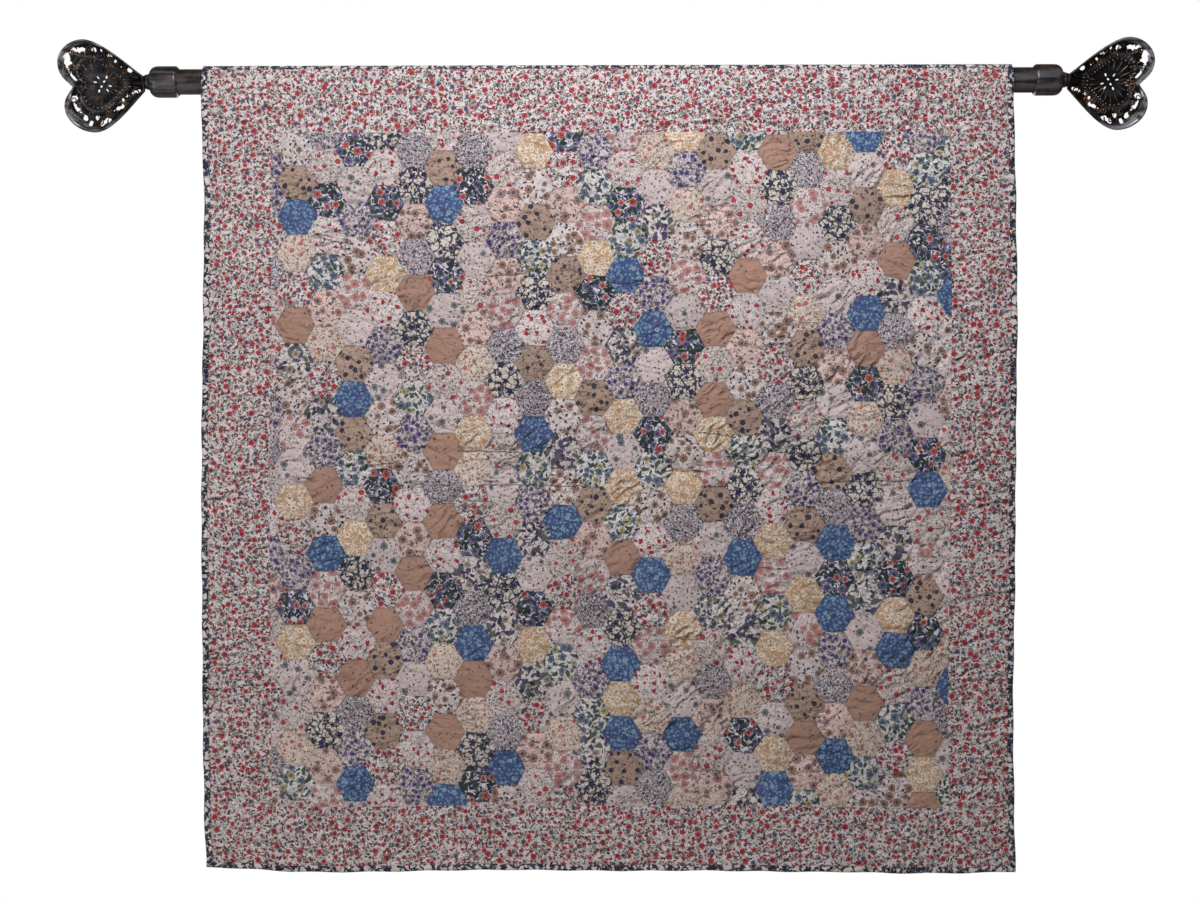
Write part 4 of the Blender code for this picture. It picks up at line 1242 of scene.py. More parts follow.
# %% [markdown]
# Each patch is crowned over its batting and sinks to its seams. Puckers and pinched lines
# go on top, and at last every seam slips a little off its line, as hand sewing does.

# %% Crown the patches and let the seams wander
SEAM_SINK = 0.0003            # how far a seam lies under the cloth's level
DOME_POWER = 2.6              # flattens a patch's crown in the middle
u, v = flat[:, 0], flat[:, 1]
to_edge = np.minimum.reduce((u - FIELD_LEFT, FIELD_RIGHT - u, v - FIELD_TOP, FIELD_BOTTOM - v))
seam = np.minimum(seam, np.maximum(to_edge + EDGE_EASE, 0.0))
dome = 1.0 - (1.0 - np.clip(seam / APOTHEM, 0, 1)) ** DOME_POWER
soft_seam = 0.35 + 0.65 * ease(seam / 0.004)
relief = FRONT - SEAM_SINK + (CROWN + SEAM_SINK) * dome + face_relief(u, v, soft_seam)
drawn = ease(to_edge / 0.03)
for axis, seed, here in ((0, 14.0, u), (1, 17.0, v)):
    broad = smooth_noise(u, v, 0.030, seed)
    slip = SEAM_SLIP * (broad + 0.5 * smooth_noise(u, v, 0.014, seed + 1))
    flat[:, axis] = here + np.where(is_front, slip * drawn, 0.0)
flat[:, 2] = np.where(is_front, relief, BACK)
print("face stands out", round(float(relief.max()) * 1000, 2), "mm at most")

# %% [markdown]
# Each patch was cut from its yardage at its own angle and from its own place, and took up
# its own dust and light. All of these are dealt here, in one order.

# %% Deal the prints
letters = [patch_letter(column, row) for column, row in patches]
turns = np.array([random.uniform(0, 2 * math.pi) for _ in patches])
shifts = np.array([(random.uniform(0, 3), random.uniform(0, 3)) for _ in patches])
tones = np.array([random.random() for _ in patches])
names = sorted(set(LETTERS.values())) + ["calico"]
patch_material = np.array([names.index(LETTERS[letter]) for letter in letters])
face_material = np.where(is_back_face, names.index("calico"), patch_material[owner])
print("dealt", len(letters), "patches from", len(names) - 1, "prints")

# %% Lay the prints on and hang the patchwork
corner_flat = np.stack((u, v), axis=1)[corners]
turn = turns[owner][:, None]
yardage = np.stack((np.cos(turn) * corner_flat[..., 0] - np.sin(turn) * corner_flat[..., 1],
                    np.sin(turn) * corner_flat[..., 0] + np.cos(turn) * corner_flat[..., 1]), axis=-1)
yardage = yardage + shifts[owner][:, None, :]
# The sewing map darkens each patch toward its seams with dust and painted shade.
sewing = np.stack((seam[corners] * 1000, np.repeat(tones[owner][:, None], 3, axis=1)), axis=-1)
yardage[is_back_face] = corner_flat[is_back_face]
sewing[is_back_face] = UNSEWN
patchwork = finish_piece(
    "patchwork_cloth", shape, flat, [cottons[name] for name in names], face_material,
    {"yardage": yardage, "flat": corner_flat, "sewing": sewing})
smooth_to(patchwork, 60)
print("patchwork:", len(patchwork.data.polygons), "triangles")

# %% [markdown]
# ## Borders
# Four strips of one print frame the patchwork, cut on the diagonal where they meet. The
# print runs along each strip, so it lies on its side in the two upright ones. Each strip
# is a fine flat sheet, thickened to hold its wadding, then hung.

# %% Cut, pad and hang one border
BORDER_PUFF = 0.0008
BORDER_STEP = 0.0045
BORDER_PUCKER = 0.00030
BORDER_SINK = 0.006           # how far in from its edges a border stays flat
BORDER_PINCH = 0.6            # how much of the pinched lines it takes
STRIP_SHADE_AND_DUST_OFFSET = 1.2               # mm, keeps the strips' dust and painted shade lighter than at the patches' seams


def thicken(shape):
    """Give a flat sheet a back layer and sides. Gives the set of back points."""
    made = bmesh.ops.extrude_face_region(shape, geom=shape.faces[:])
    back = {item for item in made["geom"] if isinstance(item, bmesh.types.BMVert)}
    bmesh.ops.triangulate(shape, faces=shape.faces)
    bmesh.ops.recalc_face_normals(shape, faces=shape.faces)
    shape.verts.index_update()
    return back


def build_border(name, box, mitres, upright, seed):
    left, top, right, bottom = box
    shape = bmesh.new()
    across = steps_between(left, right, BORDER_STEP)
    down = steps_between(top, bottom, BORDER_STEP)
    rows = [[shape.verts.new((u, v, 0.0)) for u in across] for v in down]
    for upper, lower in zip(rows, rows[1:]):
        for index in range(len(across) - 1):
            shape.faces.new((upper[index], lower[index], lower[index + 1], upper[index + 1]))
    for point, outward in mitres:
        cut_away(shape, point, outward)
    bmesh.ops.dissolve_degenerate(shape, edges=shape.edges, dist=0.0002)
    back = thicken(shape)
    is_back = np.array([vert in back for vert in shape.verts])
    flat, corners = read_shape(shape)
    u, v = flat[:, 0], flat[:, 1]
    inside = np.minimum.reduce((u - left, right - u, v - top, bottom - v))
    short = min(right - left, bottom - top)
    pucker = smooth_noise(u, v, 0.016, seed) + 0.5 * smooth_noise(u, v, 0.008, seed + 1)
    soft = ease(inside / BORDER_SINK)
    lift = FRONT + 0.0004 + BORDER_PUFF * ease(inside / (short / 2))
    lift = lift + BORDER_PUCKER * pucker * soft
    lift = lift - BORDER_PINCH * pinch_depth(u, v) * soft
    flat[:, 2] = np.where(is_back, BACK, lift)
    corner_flat = np.stack((u, v), axis=1)[corners]
    yardage = corner_flat[..., ::-1] if upright else corner_flat
    # The sewing map darkens each strip toward its edges with dust and painted shade.
    sewing = np.stack((inside[corners] * 1000 + STRIP_SHADE_AND_DUST_OFFSET, np.full(corners.shape, 0.5)), axis=-1)
    face_material = is_back[corners].all(axis=1).astype(int)
    sewing[face_material == 1] = UNSEWN
    piece = finish_piece(name, shape, flat, [cottons["meadow"], cottons["calico"]], face_material,
                         {"yardage": yardage, "flat": corner_flat, "sewing": sewing})
    smooth_to(piece, 40)
    return piece


print("borders are cut in steps of", BORDER_STEP * 1000, "mm")

# %% [markdown]
# The corners are mitred: each strip is cut along the diagonal from the quilt's corner to
# the patchwork's, with half a seam's gap on either side.

# %% Build the four borders
def mitre(outer, inner, outward_sign):
    """The diagonal from an outer corner to an inner one, half a seam's gap back."""
    run = Vector(inner) - Vector(outer)
    normal = Vector((run.y, -run.x)).normalized() * outward_sign
    return tuple(Vector(outer) - normal * SEAM_GAP / 2), tuple(normal)


OUTER = (RIM - HALF_WIDTH, RIM, HALF_WIDTH - RIM, QUILT_LENGTH - RIM)
INNER = (FIELD_LEFT - SEAM_GAP, FIELD_TOP - SEAM_GAP,
         FIELD_RIGHT + SEAM_GAP, FIELD_BOTTOM + SEAM_GAP)
top_left = ((OUTER[0], OUTER[1]), (INNER[0], INNER[1]))
top_right = ((OUTER[2], OUTER[1]), (INNER[2], INNER[1]))
low_left = ((OUTER[0], OUTER[3]), (INNER[0], INNER[3]))
low_right = ((OUTER[2], OUTER[3]), (INNER[2], INNER[3]))
borders = {
    "top": build_border("border_cloth_top", (OUTER[0], OUTER[1], OUTER[2], INNER[1]),
                        (mitre(*top_left, -1), mitre(*top_right, 1)), False, 21.0),
    "bottom": build_border("border_cloth_bottom", (OUTER[0], INNER[3], OUTER[2], OUTER[3]),
                           (mitre(*low_left, 1), mitre(*low_right, -1)), False, 31.0),
    "left": build_border("border_cloth_left", (OUTER[0], OUTER[1], INNER[0], OUTER[3]),
                         (mitre(*top_left, 1), mitre(*low_left, -1)), True, 41.0),
    "right": build_border("border_cloth_right", (INNER[2], OUTER[1], OUTER[2], OUTER[3]),
                          (mitre(*top_right, -1), mitre(*low_right, 1)), True, 51.0),
}
print("borders:", {side: len(piece.data.polygons) for side, piece in borders.items()})

# %% [markdown]
# ## Binding
# A folded strip of a dark vine print closes all four edges. Its section is a short table,
# swept along each edge and cut on the diagonal at the corners. Dust and painted shade
# darken it where it is stitched down.

# %% Section of the binding
SectionPoint = namedtuple("SectionPoint", "inward out seam")
BINDING_SECTION = (  # metres, and mm to the nearest stitches
    SectionPoint(0.0000, 0.0004, 0.4),
    SectionPoint(0.0012, 0.0020, 4.0),
    SectionPoint(0.0042, 0.0026, 4.0),
    SectionPoint(BINDING, 0.0022, 0.4),
    SectionPoint(BINDING, -0.0014, 0.4),
    SectionPoint(0.0042, -0.0017, 4.0),
    SectionPoint(0.0010, -0.0013, 4.0),
)
BINDING_STEP = 0.005
BINDING_WOBBLE = 0.0003
section_reach = [0.0]
for before, after in zip(BINDING_SECTION, BINDING_SECTION[1:]):
    step = math.hypot(after.inward - before.inward, after.out - before.out)
    section_reach.append(section_reach[-1] + step)
print("round the binding:", round(section_reach[-1] * 1000, 1), "mm of cloth")

# %% Build the binding
def build_binding(name, side):
    """Sweep the section along one edge, then hang it."""
    upright = side in ("left", "right")
    first, last = (0.0, QUILT_LENGTH) if upright else (-HALF_WIDTH, HALF_WIDTH)
    mitre_end = BINDING + 2 * GAP
    between = steps_between(first + mitre_end, last - mitre_end, BINDING_STEP)
    places = [first] + between + [last]
    shape = bmesh.new()
    loops, maps = [], {}
    for place in places:
        loop = []
        for point, reach in zip(BINDING_SECTION, section_reach):
            short = point.inward + GAP / 2
            along = min(max(place, first + short), last - short)
            if upright:
                edge = point.inward - HALF_WIDTH if side == "left" else HALF_WIDTH - point.inward
                flat = (edge, along, point.out)
            else:
                edge = point.inward if side == "top" else QUILT_LENGTH - point.inward
                flat = (along, edge, point.out)
            vert = shape.verts.new(flat)
            maps[vert] = (along, reach)
            loop.append(vert)
        loops.append(loop)
    for near, far in zip(loops, loops[1:]):
        for index in range(len(near)):
            after = (index + 1) % len(near)
            shape.faces.new((near[index], near[after], far[after], far[index]))
    shape.faces.new(loops[0])
    shape.faces.new(loops[-1])
    bmesh.ops.triangulate(shape, faces=shape.faces)
    bmesh.ops.recalc_face_normals(shape, faces=shape.faces)
    shape.verts.index_update()
    yardage = np.array([maps[vert] for vert in shape.verts])
    flat, corners = read_shape(shape)
    corner_flat = flat[corners][..., :2]
    wobble = smooth_noise(flat[:, 0] + flat[:, 1], flat[:, 2] * 0, 0.012, 61.0)
    flat[:, 2] += np.where(flat[:, 2] > 0.001, BINDING_WOBBLE * wobble, 0.0)
    seams = np.array([point.seam for point in BINDING_SECTION] * len(places))[corners]
    sewing = np.stack((seams, np.full(corners.shape, 0.5)), axis=-1)
    piece = finish_piece(name, shape, flat, [cottons["binding"]], np.zeros(len(corners), dtype=int),
                         {"yardage": yardage[corners], "flat": corner_flat, "sewing": sewing})
    smooth_to(piece, 50)
    return piece


bindings = {side: build_binding("binding_cloth_" + side, side) for side in borders}
print("bindings:", {side: len(piece.data.polygons) for side, piece in bindings.items()})

# %% [markdown]
# ## Hanging sleeve
# A plain strip is sewn to the quilt's back and makes a channel for the rod. It runs over
# the rod and down behind it, with a little slack between its stitches.

# %% Path of the sleeve
SLEEVE_HALF_WIDTH, SLEEVE_THICKNESS = 0.486, 0.0012
SLEEVE_RADIUS = ROD_RADIUS + 0.0004 + SLEEVE_THICKNESS / 2
SLEEVE_START = math.radians(128)
SLEEVE_FOOT_TOP, SLEEVE_FOOT_END = 0.080, 0.093
SLEEVE_SLACK = 0.0008


def sleeve_path():
    """The strip's middle line, as (y, z): over the rod, down its back, to the quilt."""
    path = []
    for index in range(21):
        angle = SLEEVE_START * (1.0 - index / 20)
        path.append((-SLEEVE_RADIUS * math.cos(math.pi - angle), SLEEVE_RADIUS * math.sin(angle)))
    start, end = Vector((SLEEVE_RADIUS, 0.0)), Vector((-SLEEVE_RADIUS, -SLEEVE_FOOT_TOP))
    curve = interpolate_bezier(start, start - Vector((0, 0.030)), end + Vector((0, 0.030)), end, 20)
    path.extend((point.x, point.y) for point in curve[1:])
    foot = steps_between(SLEEVE_FOOT_TOP, SLEEVE_FOOT_END, 0.005)
    path.extend((-SLEEVE_RADIUS, -height) for height in foot[1:])
    return path


path = sleeve_path()
reach = [0.0]
for before, after in zip(path, path[1:]):
    reach.append(reach[-1] + math.dist(before, after))
SLEEVE_DROP = reach[-1]
print("sleeve cut", round(SLEEVE_DROP, 3), "m deep")

# %% Sew the sleeve
SLEEVE_STEP, SLACK_LENGTH, SLACK_FADE = 0.010, 0.31, 0.03
sleeve_places, sleeve_maps, sleeve_faces = [], [], []
stations = steps_between(-SLEEVE_HALF_WIDTH, SLEEVE_HALF_WIDTH, SLEEVE_STEP)
for x in stations:
    for (y, z), down_cloth in zip(path, reach):
        loose = float(ease(-z / SLACK_FADE) * ease((z + SLEEVE_FOOT_TOP) / SLACK_FADE))
        slack = SLEEVE_SLACK * loose * math.sin(2 * math.pi * x / SLACK_LENGTH)
        sleeve_places.append((x, y + slack, z))
        sleeve_maps.append((x, down_cloth))
for column in range(len(stations) - 1):
    for index in range(len(path) - 1):
        near, far = column * len(path) + index, (column + 1) * len(path) + index
        sleeve_faces.append((near, near + 1, far + 1, far))
sleeve_mesh = bpy.data.meshes.new("sleeve_cloth")
sleeve_mesh.from_pydata(sleeve_places, [], sleeve_faces)
sleeve = bpy.data.objects.new("sleeve_cloth", sleeve_mesh)
bpy.context.scene.collection.objects.link(sleeve)
sleeve_mesh.materials.append(cottons["calico"])
loop_maps = np.array(sleeve_maps)[np.array(sleeve_faces)]
# The sewing map darkens the calico near its stitches with dust and painted shade.
to_stitches = np.minimum(loop_maps[..., 1], SLEEVE_DROP - loop_maps[..., 1]) * 1000
sewing = np.stack((to_stitches, np.full(loop_maps.shape[:2], 0.5)), axis=-1)
for label, values in (("yardage", loop_maps), ("flat", loop_maps), ("sewing", sewing)):
    layer = sleeve_mesh.uv_layers.new(name=label)
    layer.data.foreach_set("uv", values.astype(np.float32).ravel())
print("sleeve:", len(stations), "stations of", len(path), "points")

# %% Give the sleeve its thickness
def edit_all(piece):
    choose_only(piece)
    bpy.ops.object.mode_set(mode='EDIT')
    bpy.ops.mesh.select_all(action='SELECT')


choose_only(sleeve)
solid = sleeve.modifiers.new("thickness", 'SOLIDIFY')
solid.thickness, solid.offset, solid.use_even_offset = SLEEVE_THICKNESS, 0.0, True
bpy.ops.object.modifier_apply(modifier="thickness")
edit_all(sleeve)
bpy.ops.mesh.normals_make_consistent(inside=False)
bpy.ops.object.mode_set(mode='OBJECT')
smooth_to(sleeve, 50)
print("sleeve:", len(sleeve.data.polygons), "faces")

# %% [markdown]
# ## Rod and sockets
# The rod is a plain round bar, and each end is a turned cup with a rounded shoulder. A
# cylinder is the bar. A circle, pushed out and resized ring by ring, is the cup, just as
# a lathe would follow its profile.

# %% Draw the rod
ROD_HALF_LENGTH = 0.563
bpy.ops.object.select_all(action='DESELECT')
bpy.ops.mesh.primitive_cylinder_add(vertices=72, radius=ROD_RADIUS, depth=2 * ROD_HALF_LENGTH,
                                    rotation=(0, math.pi / 2, 0))
rod = bpy.context.object
rod.name = "iron_rod"
bpy.ops.object.transform_apply(location=True, rotation=True, scale=True)
bpy.ops.object.shade_smooth_by_angle(angle=math.radians(40))
print("rod:", 2 * ROD_HALF_LENGTH, "m long")

# %% Turn a socket for each end
SIDES = {"left": -1, "right": 1}
SOCKET_MOUTH = 0.545
SocketRing = namedtuple("SocketRing", "out radius")
SOCKET_RINGS = (
    SocketRing(0.0195, ROD_RADIUS + 0.0005),     # the bore's end
    SocketRing(0.0000, ROD_RADIUS + 0.0005),     # the mouth
    SocketRing(0.0002, 0.0179),
    SocketRing(0.0008, 0.0185),
    SocketRing(0.0022, 0.0196),
    SocketRing(0.0034, 0.0198),
    SocketRing(0.0250, 0.0198),
    SocketRing(0.0285, 0.0194),
    SocketRing(0.0312, 0.0184),
    SocketRing(0.0334, 0.0167),
    SocketRing(0.0350, 0.0146),
    SocketRing(0.0360, 0.0122),
    SocketRing(0.0369, 0.0106),
    SocketRing(0.0382, 0.0098),
    SocketRing(0.0402, 0.0096),
)


def turn_socket(name, side):
    """A cup on one end of the rod, its floor and its neck closed."""
    first = SOCKET_RINGS[0]
    bpy.ops.object.select_all(action='DESELECT')
    bpy.ops.mesh.primitive_circle_add(
        vertices=64, radius=first.radius, fill_type='NGON', rotation=(0, math.pi / 2, 0),
        location=(side * (SOCKET_MOUTH + first.out), 0, 0))
    cup = bpy.context.object
    cup.name = name
    bpy.ops.object.transform_apply(location=True, rotation=True, scale=True)
    edit_all(cup)
    for before, ring in zip(SOCKET_RINGS, SOCKET_RINGS[1:]):
        bpy.ops.mesh.extrude_region_move(
            TRANSFORM_OT_translate={"value": (side * (ring.out - before.out), 0, 0)})
        share = ring.radius / before.radius
        bpy.ops.transform.resize(value=(1, share, share), center_override=(0, 0, 0))
    bpy.ops.mesh.select_all(action='SELECT')
    bpy.ops.mesh.normals_make_consistent(inside=False)
    bpy.ops.object.mode_set(mode='OBJECT')
    bpy.ops.object.shade_smooth_by_angle(angle=math.radians(50))
    return cup


sockets = {word: turn_socket("iron_socket_" + word, side) for word, side in SIDES.items()}
print("rod and sockets:", len(rod.data.polygons), [len(cup.data.polygons) for cup in sockets.values()])

# %% [markdown]
# ## Cast hearts
# Each end carries a pierced heart: a raised rim, a band of scrolls with daylight between
# them, a ring of beads and a boss with a small cut flower. The dish is a circle pulled to
# the heart's outline, then pushed inward ring by ring. Its windows are small faces taken
# out, and a subdivision rounds them as a casting would.

# %% Sizes of the heart, along from its root and across
HEART_THICKNESS, HEART_CENTRE = 0.0024, 0.058
ROOT_LENGTH, ROOT_TIP = 0.017, 0.0042
HEART_ROLL, HEART_DROOP, HEART_SHRUNK = math.radians(24), math.radians(2.6), 0.97
HeartArc = namedtuple("HeartArc", "start start_handle end_handle end steps")
HEART_SIDE = (
    HeartArc((0.000, 0.010), (0.016, 0.023), (0.050, 0.062), (0.074, 0.062), 34),
    HeartArc((0.074, 0.062), (0.093, 0.062), (0.111, 0.047), (0.111, 0.029), 24),
    HeartArc((0.111, 0.029), (0.111, 0.013), (0.101, 0.008), (0.0956, 0.0), 20),
)
HeartRing = namedtuple("HeartRing", "reach height")
HEART_DISH = (  # from the rim inward
    HeartRing(1.000, 0.0085),
    HeartRing(0.985, 0.0104),
    HeartRing(0.955, 0.0110),
    HeartRing(0.928, 0.0092),
    HeartRing(0.905, 0.0060),
    HeartRing(0.885, 0.0030),
    HeartRing(0.865, 0.0010),
    HeartRing(0.835, 0.0002),
    HeartRing(0.805, 0.0000),
    HeartRing(0.775, 0.0000),
    HeartRing(0.745, -0.0002),
    HeartRing(0.715, -0.0003),
    HeartRing(0.685, -0.0003),
    HeartRing(0.655, 0.0002),
    HeartRing(0.620, 0.0012),
    HeartRing(0.585, 0.0016),
    HeartRing(0.545, 0.0012),
    HeartRing(0.500, 0.0004),
    HeartRing(0.440, 0.0002),
    HeartRing(0.360, 0.0006),
    HeartRing(0.280, 0.0010),
    HeartRing(0.200, 0.0010),
    HeartRing(0.120, 0.0006),
    HeartRing(0.050, 0.0008),
)
HeartWindow = namedtuple("HeartWindow", "angle reach half_angle half_reach slant")
HEART_WINDOWS = (  # degrees round the centre, 0 at the notch and 180 at the root
    HeartWindow(43, 0.83, 5.0, 0.045, 0.6), HeartWindow(36, 0.80, 3.0, 0.060, -0.5),
    HeartWindow(24, 0.77, 5.5, 0.035, 0.9), HeartWindow(15, 0.76, 3.5, 0.045, -0.4),
    HeartWindow(57, 0.84, 2.0, 0.025, 0.0), HeartWindow(64, 0.77, 5.5, 0.050, -0.7),
    HeartWindow(84, 0.74, 3.2, 0.045, 0.3), HeartWindow(97, 0.80, 2.0, 0.022, 0.0),
    HeartWindow(110, 0.79, 3.2, 0.040, 0.5), HeartWindow(126, 0.76, 3.0, 0.034, 0.4),
    HeartWindow(143, 0.72, 1.8, 0.022, 0.0), HeartWindow(157, 0.80, 3.0, 0.050, -0.5),
    HeartWindow(196, 0.80, 3.2, 0.065, -0.9), HeartWindow(210, 0.71, 2.2, 0.030, 0.0),
    HeartWindow(224, 0.70, 3.4, 0.035, 0.5), HeartWindow(240, 0.77, 5.5, 0.042, -0.8),
    HeartWindow(256, 0.72, 1.8, 0.024, 0.0), HeartWindow(267, 0.84, 2.6, 0.030, 0.0),
    HeartWindow(276, 0.82, 3.6, 0.040, 0.8), HeartWindow(288, 0.72, 2.6, 0.040, 0.0),
    HeartWindow(295, 0.84, 1.8, 0.030, 0.0), HeartWindow(305, 0.80, 3.0, 0.040, -0.5),
    HeartWindow(321, 0.77, 7.0, 0.035, 0.8), HeartWindow(336, 0.75, 4.0, 0.050, 0.5),
)
WINDOW_GROWTH, WINDOW_RAGGED = 1.22, 1.3
BEAD_COUNT, BEAD_REACH, BEAD_RADIUS = 36, 0.50, 0.00115
BEAD_SIDES, BEAD_RINGS = 10, 6
BEAD_POINTS = BEAD_SIDES * (BEAD_RINGS - 1) + 2
HeartSlot = namedtuple("HeartSlot", "out up length width turn")
HEART_SLOTS = (  # the cut flower, in mm from the centre
    HeartSlot(4.8, 8.8, 5.0, 2.5, 60), HeartSlot(-6.4, 8.8, 5.0, 2.5, 120),
    HeartSlot(9.6, 3.1, 5.0, 2.4, 12), HeartSlot(-2.2, 3.2, 4.2, 2.4, 140),
    HeartSlot(2.2, -3.2, 4.2, 2.4, 140), HeartSlot(-9.2, -2.9, 5.0, 2.4, 12),
    HeartSlot(6.2, -8.8, 5.0, 2.5, 120), HeartSlot(-5.0, -8.4, 5.0, 2.5, 60),
)
print(len(HEART_DISH), "rings,", len(HEART_WINDOWS), "windows")

# %% Draw out the heart's dish
def heart_outline():
    """Points round the heart, from its cut root up one side and down the other."""
    half = []
    for arc in HEART_SIDE:
        points = interpolate_bezier(*(Vector(point) for point in arc[:4]), arc.steps + 1)
        half.extend(points[:-1])
    half.append(Vector(HEART_SIDE[-1].end))
    return half + [Vector((point.x, -point.y)) for point in reversed(half[:-1])]


outline_points = heart_outline()
bpy.ops.object.select_all(action='DESELECT')
bpy.ops.mesh.primitive_circle_add(vertices=len(outline_points), radius=1.0, fill_type='NOTHING')
dish = bpy.context.object
dish.name = "heart_dish"
for vert, point in zip(dish.data.vertices, outline_points):
    vert.co = (point.x, -HEART_DISH[0].height, point.y)
edit_all(dish)
for before, ring in zip(HEART_DISH, HEART_DISH[1:]):
    bpy.ops.mesh.extrude_region_move(
        TRANSFORM_OT_translate={"value": (0, before.height - ring.height, 0)})
    share = ring.reach / before.reach
    bpy.ops.transform.resize(value=(share, 1, share), center_override=(HEART_CENTRE, 0, 0))
bpy.ops.mesh.edge_face_add()
bpy.ops.mesh.poke()
bpy.ops.mesh.select_all(action='SELECT')
bpy.ops.mesh.normals_make_consistent(inside=False)
bpy.ops.mesh.select_all(action='DESELECT')
bpy.ops.mesh.select_mode(type='FACE')
bpy.ops.object.mode_set(mode='OBJECT')


def outline_reach(angle):
    """The outline's distance from the centre, looking out at an angle."""
    best = min(outline_points, key=lambda p: abs(math.remainder(
        math.atan2(p.y, p.x - HEART_CENTRE) - angle, 2 * math.pi)))
    return math.hypot(best.x - HEART_CENTRE, best.y)


def in_window(x, z):
    angle = math.atan2(z, x - HEART_CENTRE)
    reach = math.hypot(x - HEART_CENTRE, z) / outline_reach(angle)
    ragged = 1.0 + WINDOW_RAGGED * noise.noise((x * 300, z * 300, 7.0))
    for window in HEART_WINDOWS:
        turn = math.degrees(math.remainder(angle - math.radians(window.angle), 2 * math.pi))
        away = (reach - window.reach) / (WINDOW_GROWTH * window.half_reach)
        round_share = turn / (WINDOW_GROWTH * window.half_angle) - window.slant * away
        if round_share**2 + away**2 < ragged:
            return True
    return False


for face in dish.data.polygons:
    face.select = in_window(face.center.x, face.center.z)
cut_faces = sum(face.select for face in dish.data.polygons)
bpy.ops.object.mode_set(mode='EDIT')
bpy.ops.mesh.delete(type='FACE')
bpy.ops.object.mode_set(mode='OBJECT')
for kind, settings in (('SOLIDIFY', {"thickness": HEART_THICKNESS, "offset": -1.0}),
                       ('SUBSURF', {"levels": 1, "render_levels": 1})):
    modifier = dish.modifiers.new(kind.lower(), kind)
    for key, value in settings.items():
        setattr(modifier, key, value)
    bpy.ops.object.modifier_apply(modifier=modifier.name)
print("dish:", cut_faces, "faces cut,", len(dish.data.polygons), "after rounding")

# %% [markdown]
# The cut flower is made with thin oval cutters and one boolean, and the raised work is
# laid on top: scrolls as tapering curves, ribs from the flower outward, and beads.

# %% Cut the flower
bpy.ops.object.select_all(action='DESELECT')
cutters = []
for slot in HEART_SLOTS:
    bpy.ops.mesh.primitive_cylinder_add(vertices=12, radius=0.5, depth=0.02, rotation=(math.pi / 2, 0, 0))
    cutter = bpy.context.object
    bpy.ops.object.transform_apply(location=False, rotation=True, scale=True)
    cutter.scale = (slot.length / 1000, 1.0, slot.width / 1000)
    cutter.rotation_euler = (0, -math.radians(slot.turn), 0)
    cutter.location = (HEART_CENTRE + slot.out / 1000, 0, slot.up / 1000)
    bpy.ops.object.transform_apply(location=True, rotation=True, scale=True)
    cutters.append(cutter)
for cutter in cutters:
    cutter.select_set(True)
bpy.ops.object.join()
flower_cutter = bpy.context.object
choose_only(dish)
cut = dish.modifiers.new("flower", 'BOOLEAN')
cut.object, cut.operation, cut.solver = flower_cutter, 'DIFFERENCE', 'EXACT'
bpy.ops.object.modifier_apply(modifier="flower")
bpy.data.objects.remove(flower_cutter)
print("flower cut:", len(HEART_SLOTS), "slots")

# %% Places on the heart and lines laid over it
SCROLL_TURNS, SCROLL_SIZE, SCROLL_TUBE = 1.4, 0.0050, 0.00085


def heart_place(angle, reach, height):
    """A place on the heart from an angle round its centre and a share of its outline."""
    away = outline_reach(angle) * reach
    return Vector((HEART_CENTRE + away * math.cos(angle), -height, away * math.sin(angle)))


def add_line(curve, places, thick):
    """A line through places, its tube thinner or thicker by a share at each."""
    line = curve.splines.new('POLY')
    line.points.add(len(places) - 1)
    for point, place, size in zip(line.points, places, thick):
        point.co, point.radius = (*place, 1.0), size


relief = bpy.data.curves.new("heart_relief", 'CURVE')
relief.dimensions, relief.bevel_depth, relief.bevel_resolution = '3D', SCROLL_TUBE, 1
relief.use_fill_caps = True
print("a scroll's tube is", SCROLL_TUBE * 2000, "mm thick")

# %% Lay on the scrolls
SCROLLS_ROUND, SCROLL_STEPS = 25, 18
ROOT_ANGLE = 3.0              # radians from the notch, where the root leaves no room
random.seed(5)
for index in range(SCROLLS_ROUND):
    angle = 2 * math.pi * (index + 0.5) / SCROLLS_ROUND + random.uniform(-0.04, 0.04)
    if abs(math.remainder(angle, 2 * math.pi)) > ROOT_ANGLE:
        continue
    hand = 1 if index % 2 else -1
    eye = heart_place(angle, 0.74 + 0.06 * hand + random.uniform(-0.02, 0.02), 0.0006)
    size = SCROLL_SIZE * random.uniform(0.8, 1.15)
    places, thick = [], []
    for step in range(SCROLL_STEPS + 1):
        share = step / SCROLL_STEPS
        turn = angle + hand * 2 * math.pi * SCROLL_TURNS * share
        away = size * (0.18 + 0.82 * share)
        curl = Vector((away * math.cos(turn), -0.0004 * (1 - share), away * math.sin(turn)))
        places.append(eye + curl)
        thick.append(0.75 + 0.45 * math.sin(math.pi * share))
    tail = heart_place(angle + 0.16 * hand, 0.62 if hand > 0 else 0.88, 0.0010)
    for share in (0.35, 0.7, 1.0):
        places.append(places[SCROLL_STEPS].lerp(tail, share))
        thick.append(0.75 - 0.35 * share)
    add_line(relief, places, thick)
print(len(relief.splines), "scrolls")

# %% Lay on the ribs and the pegs
RIBS_ROUND, PEGS_ROUND = 20, 48
RIB_REACHES, RIB_THICK = (0.24, 0.30, 0.36, 0.42, 0.46), (0.35, 0.8, 1.0, 0.8, 0.4)
PEG_PATH, PEG_THICK = ((0.545, 0.0014), (0.585, 0.0020), (0.625, 0.0012)), (0.5, 0.9, 0.4)
for index in range(RIBS_ROUND):
    angle = 2 * math.pi * (index + 0.5) / RIBS_ROUND
    places = [heart_place(angle + 0.05 * math.sin(3 * reach), reach, 0.0008) for reach in RIB_REACHES]
    add_line(relief, places, RIB_THICK)
for index in range(PEGS_ROUND):
    angle = 2 * math.pi * index / PEGS_ROUND
    places = [heart_place(angle, reach, height) for reach, height in PEG_PATH]
    add_line(relief, places, PEG_THICK)
print(RIBS_ROUND, "ribs and", PEGS_ROUND, "pegs")

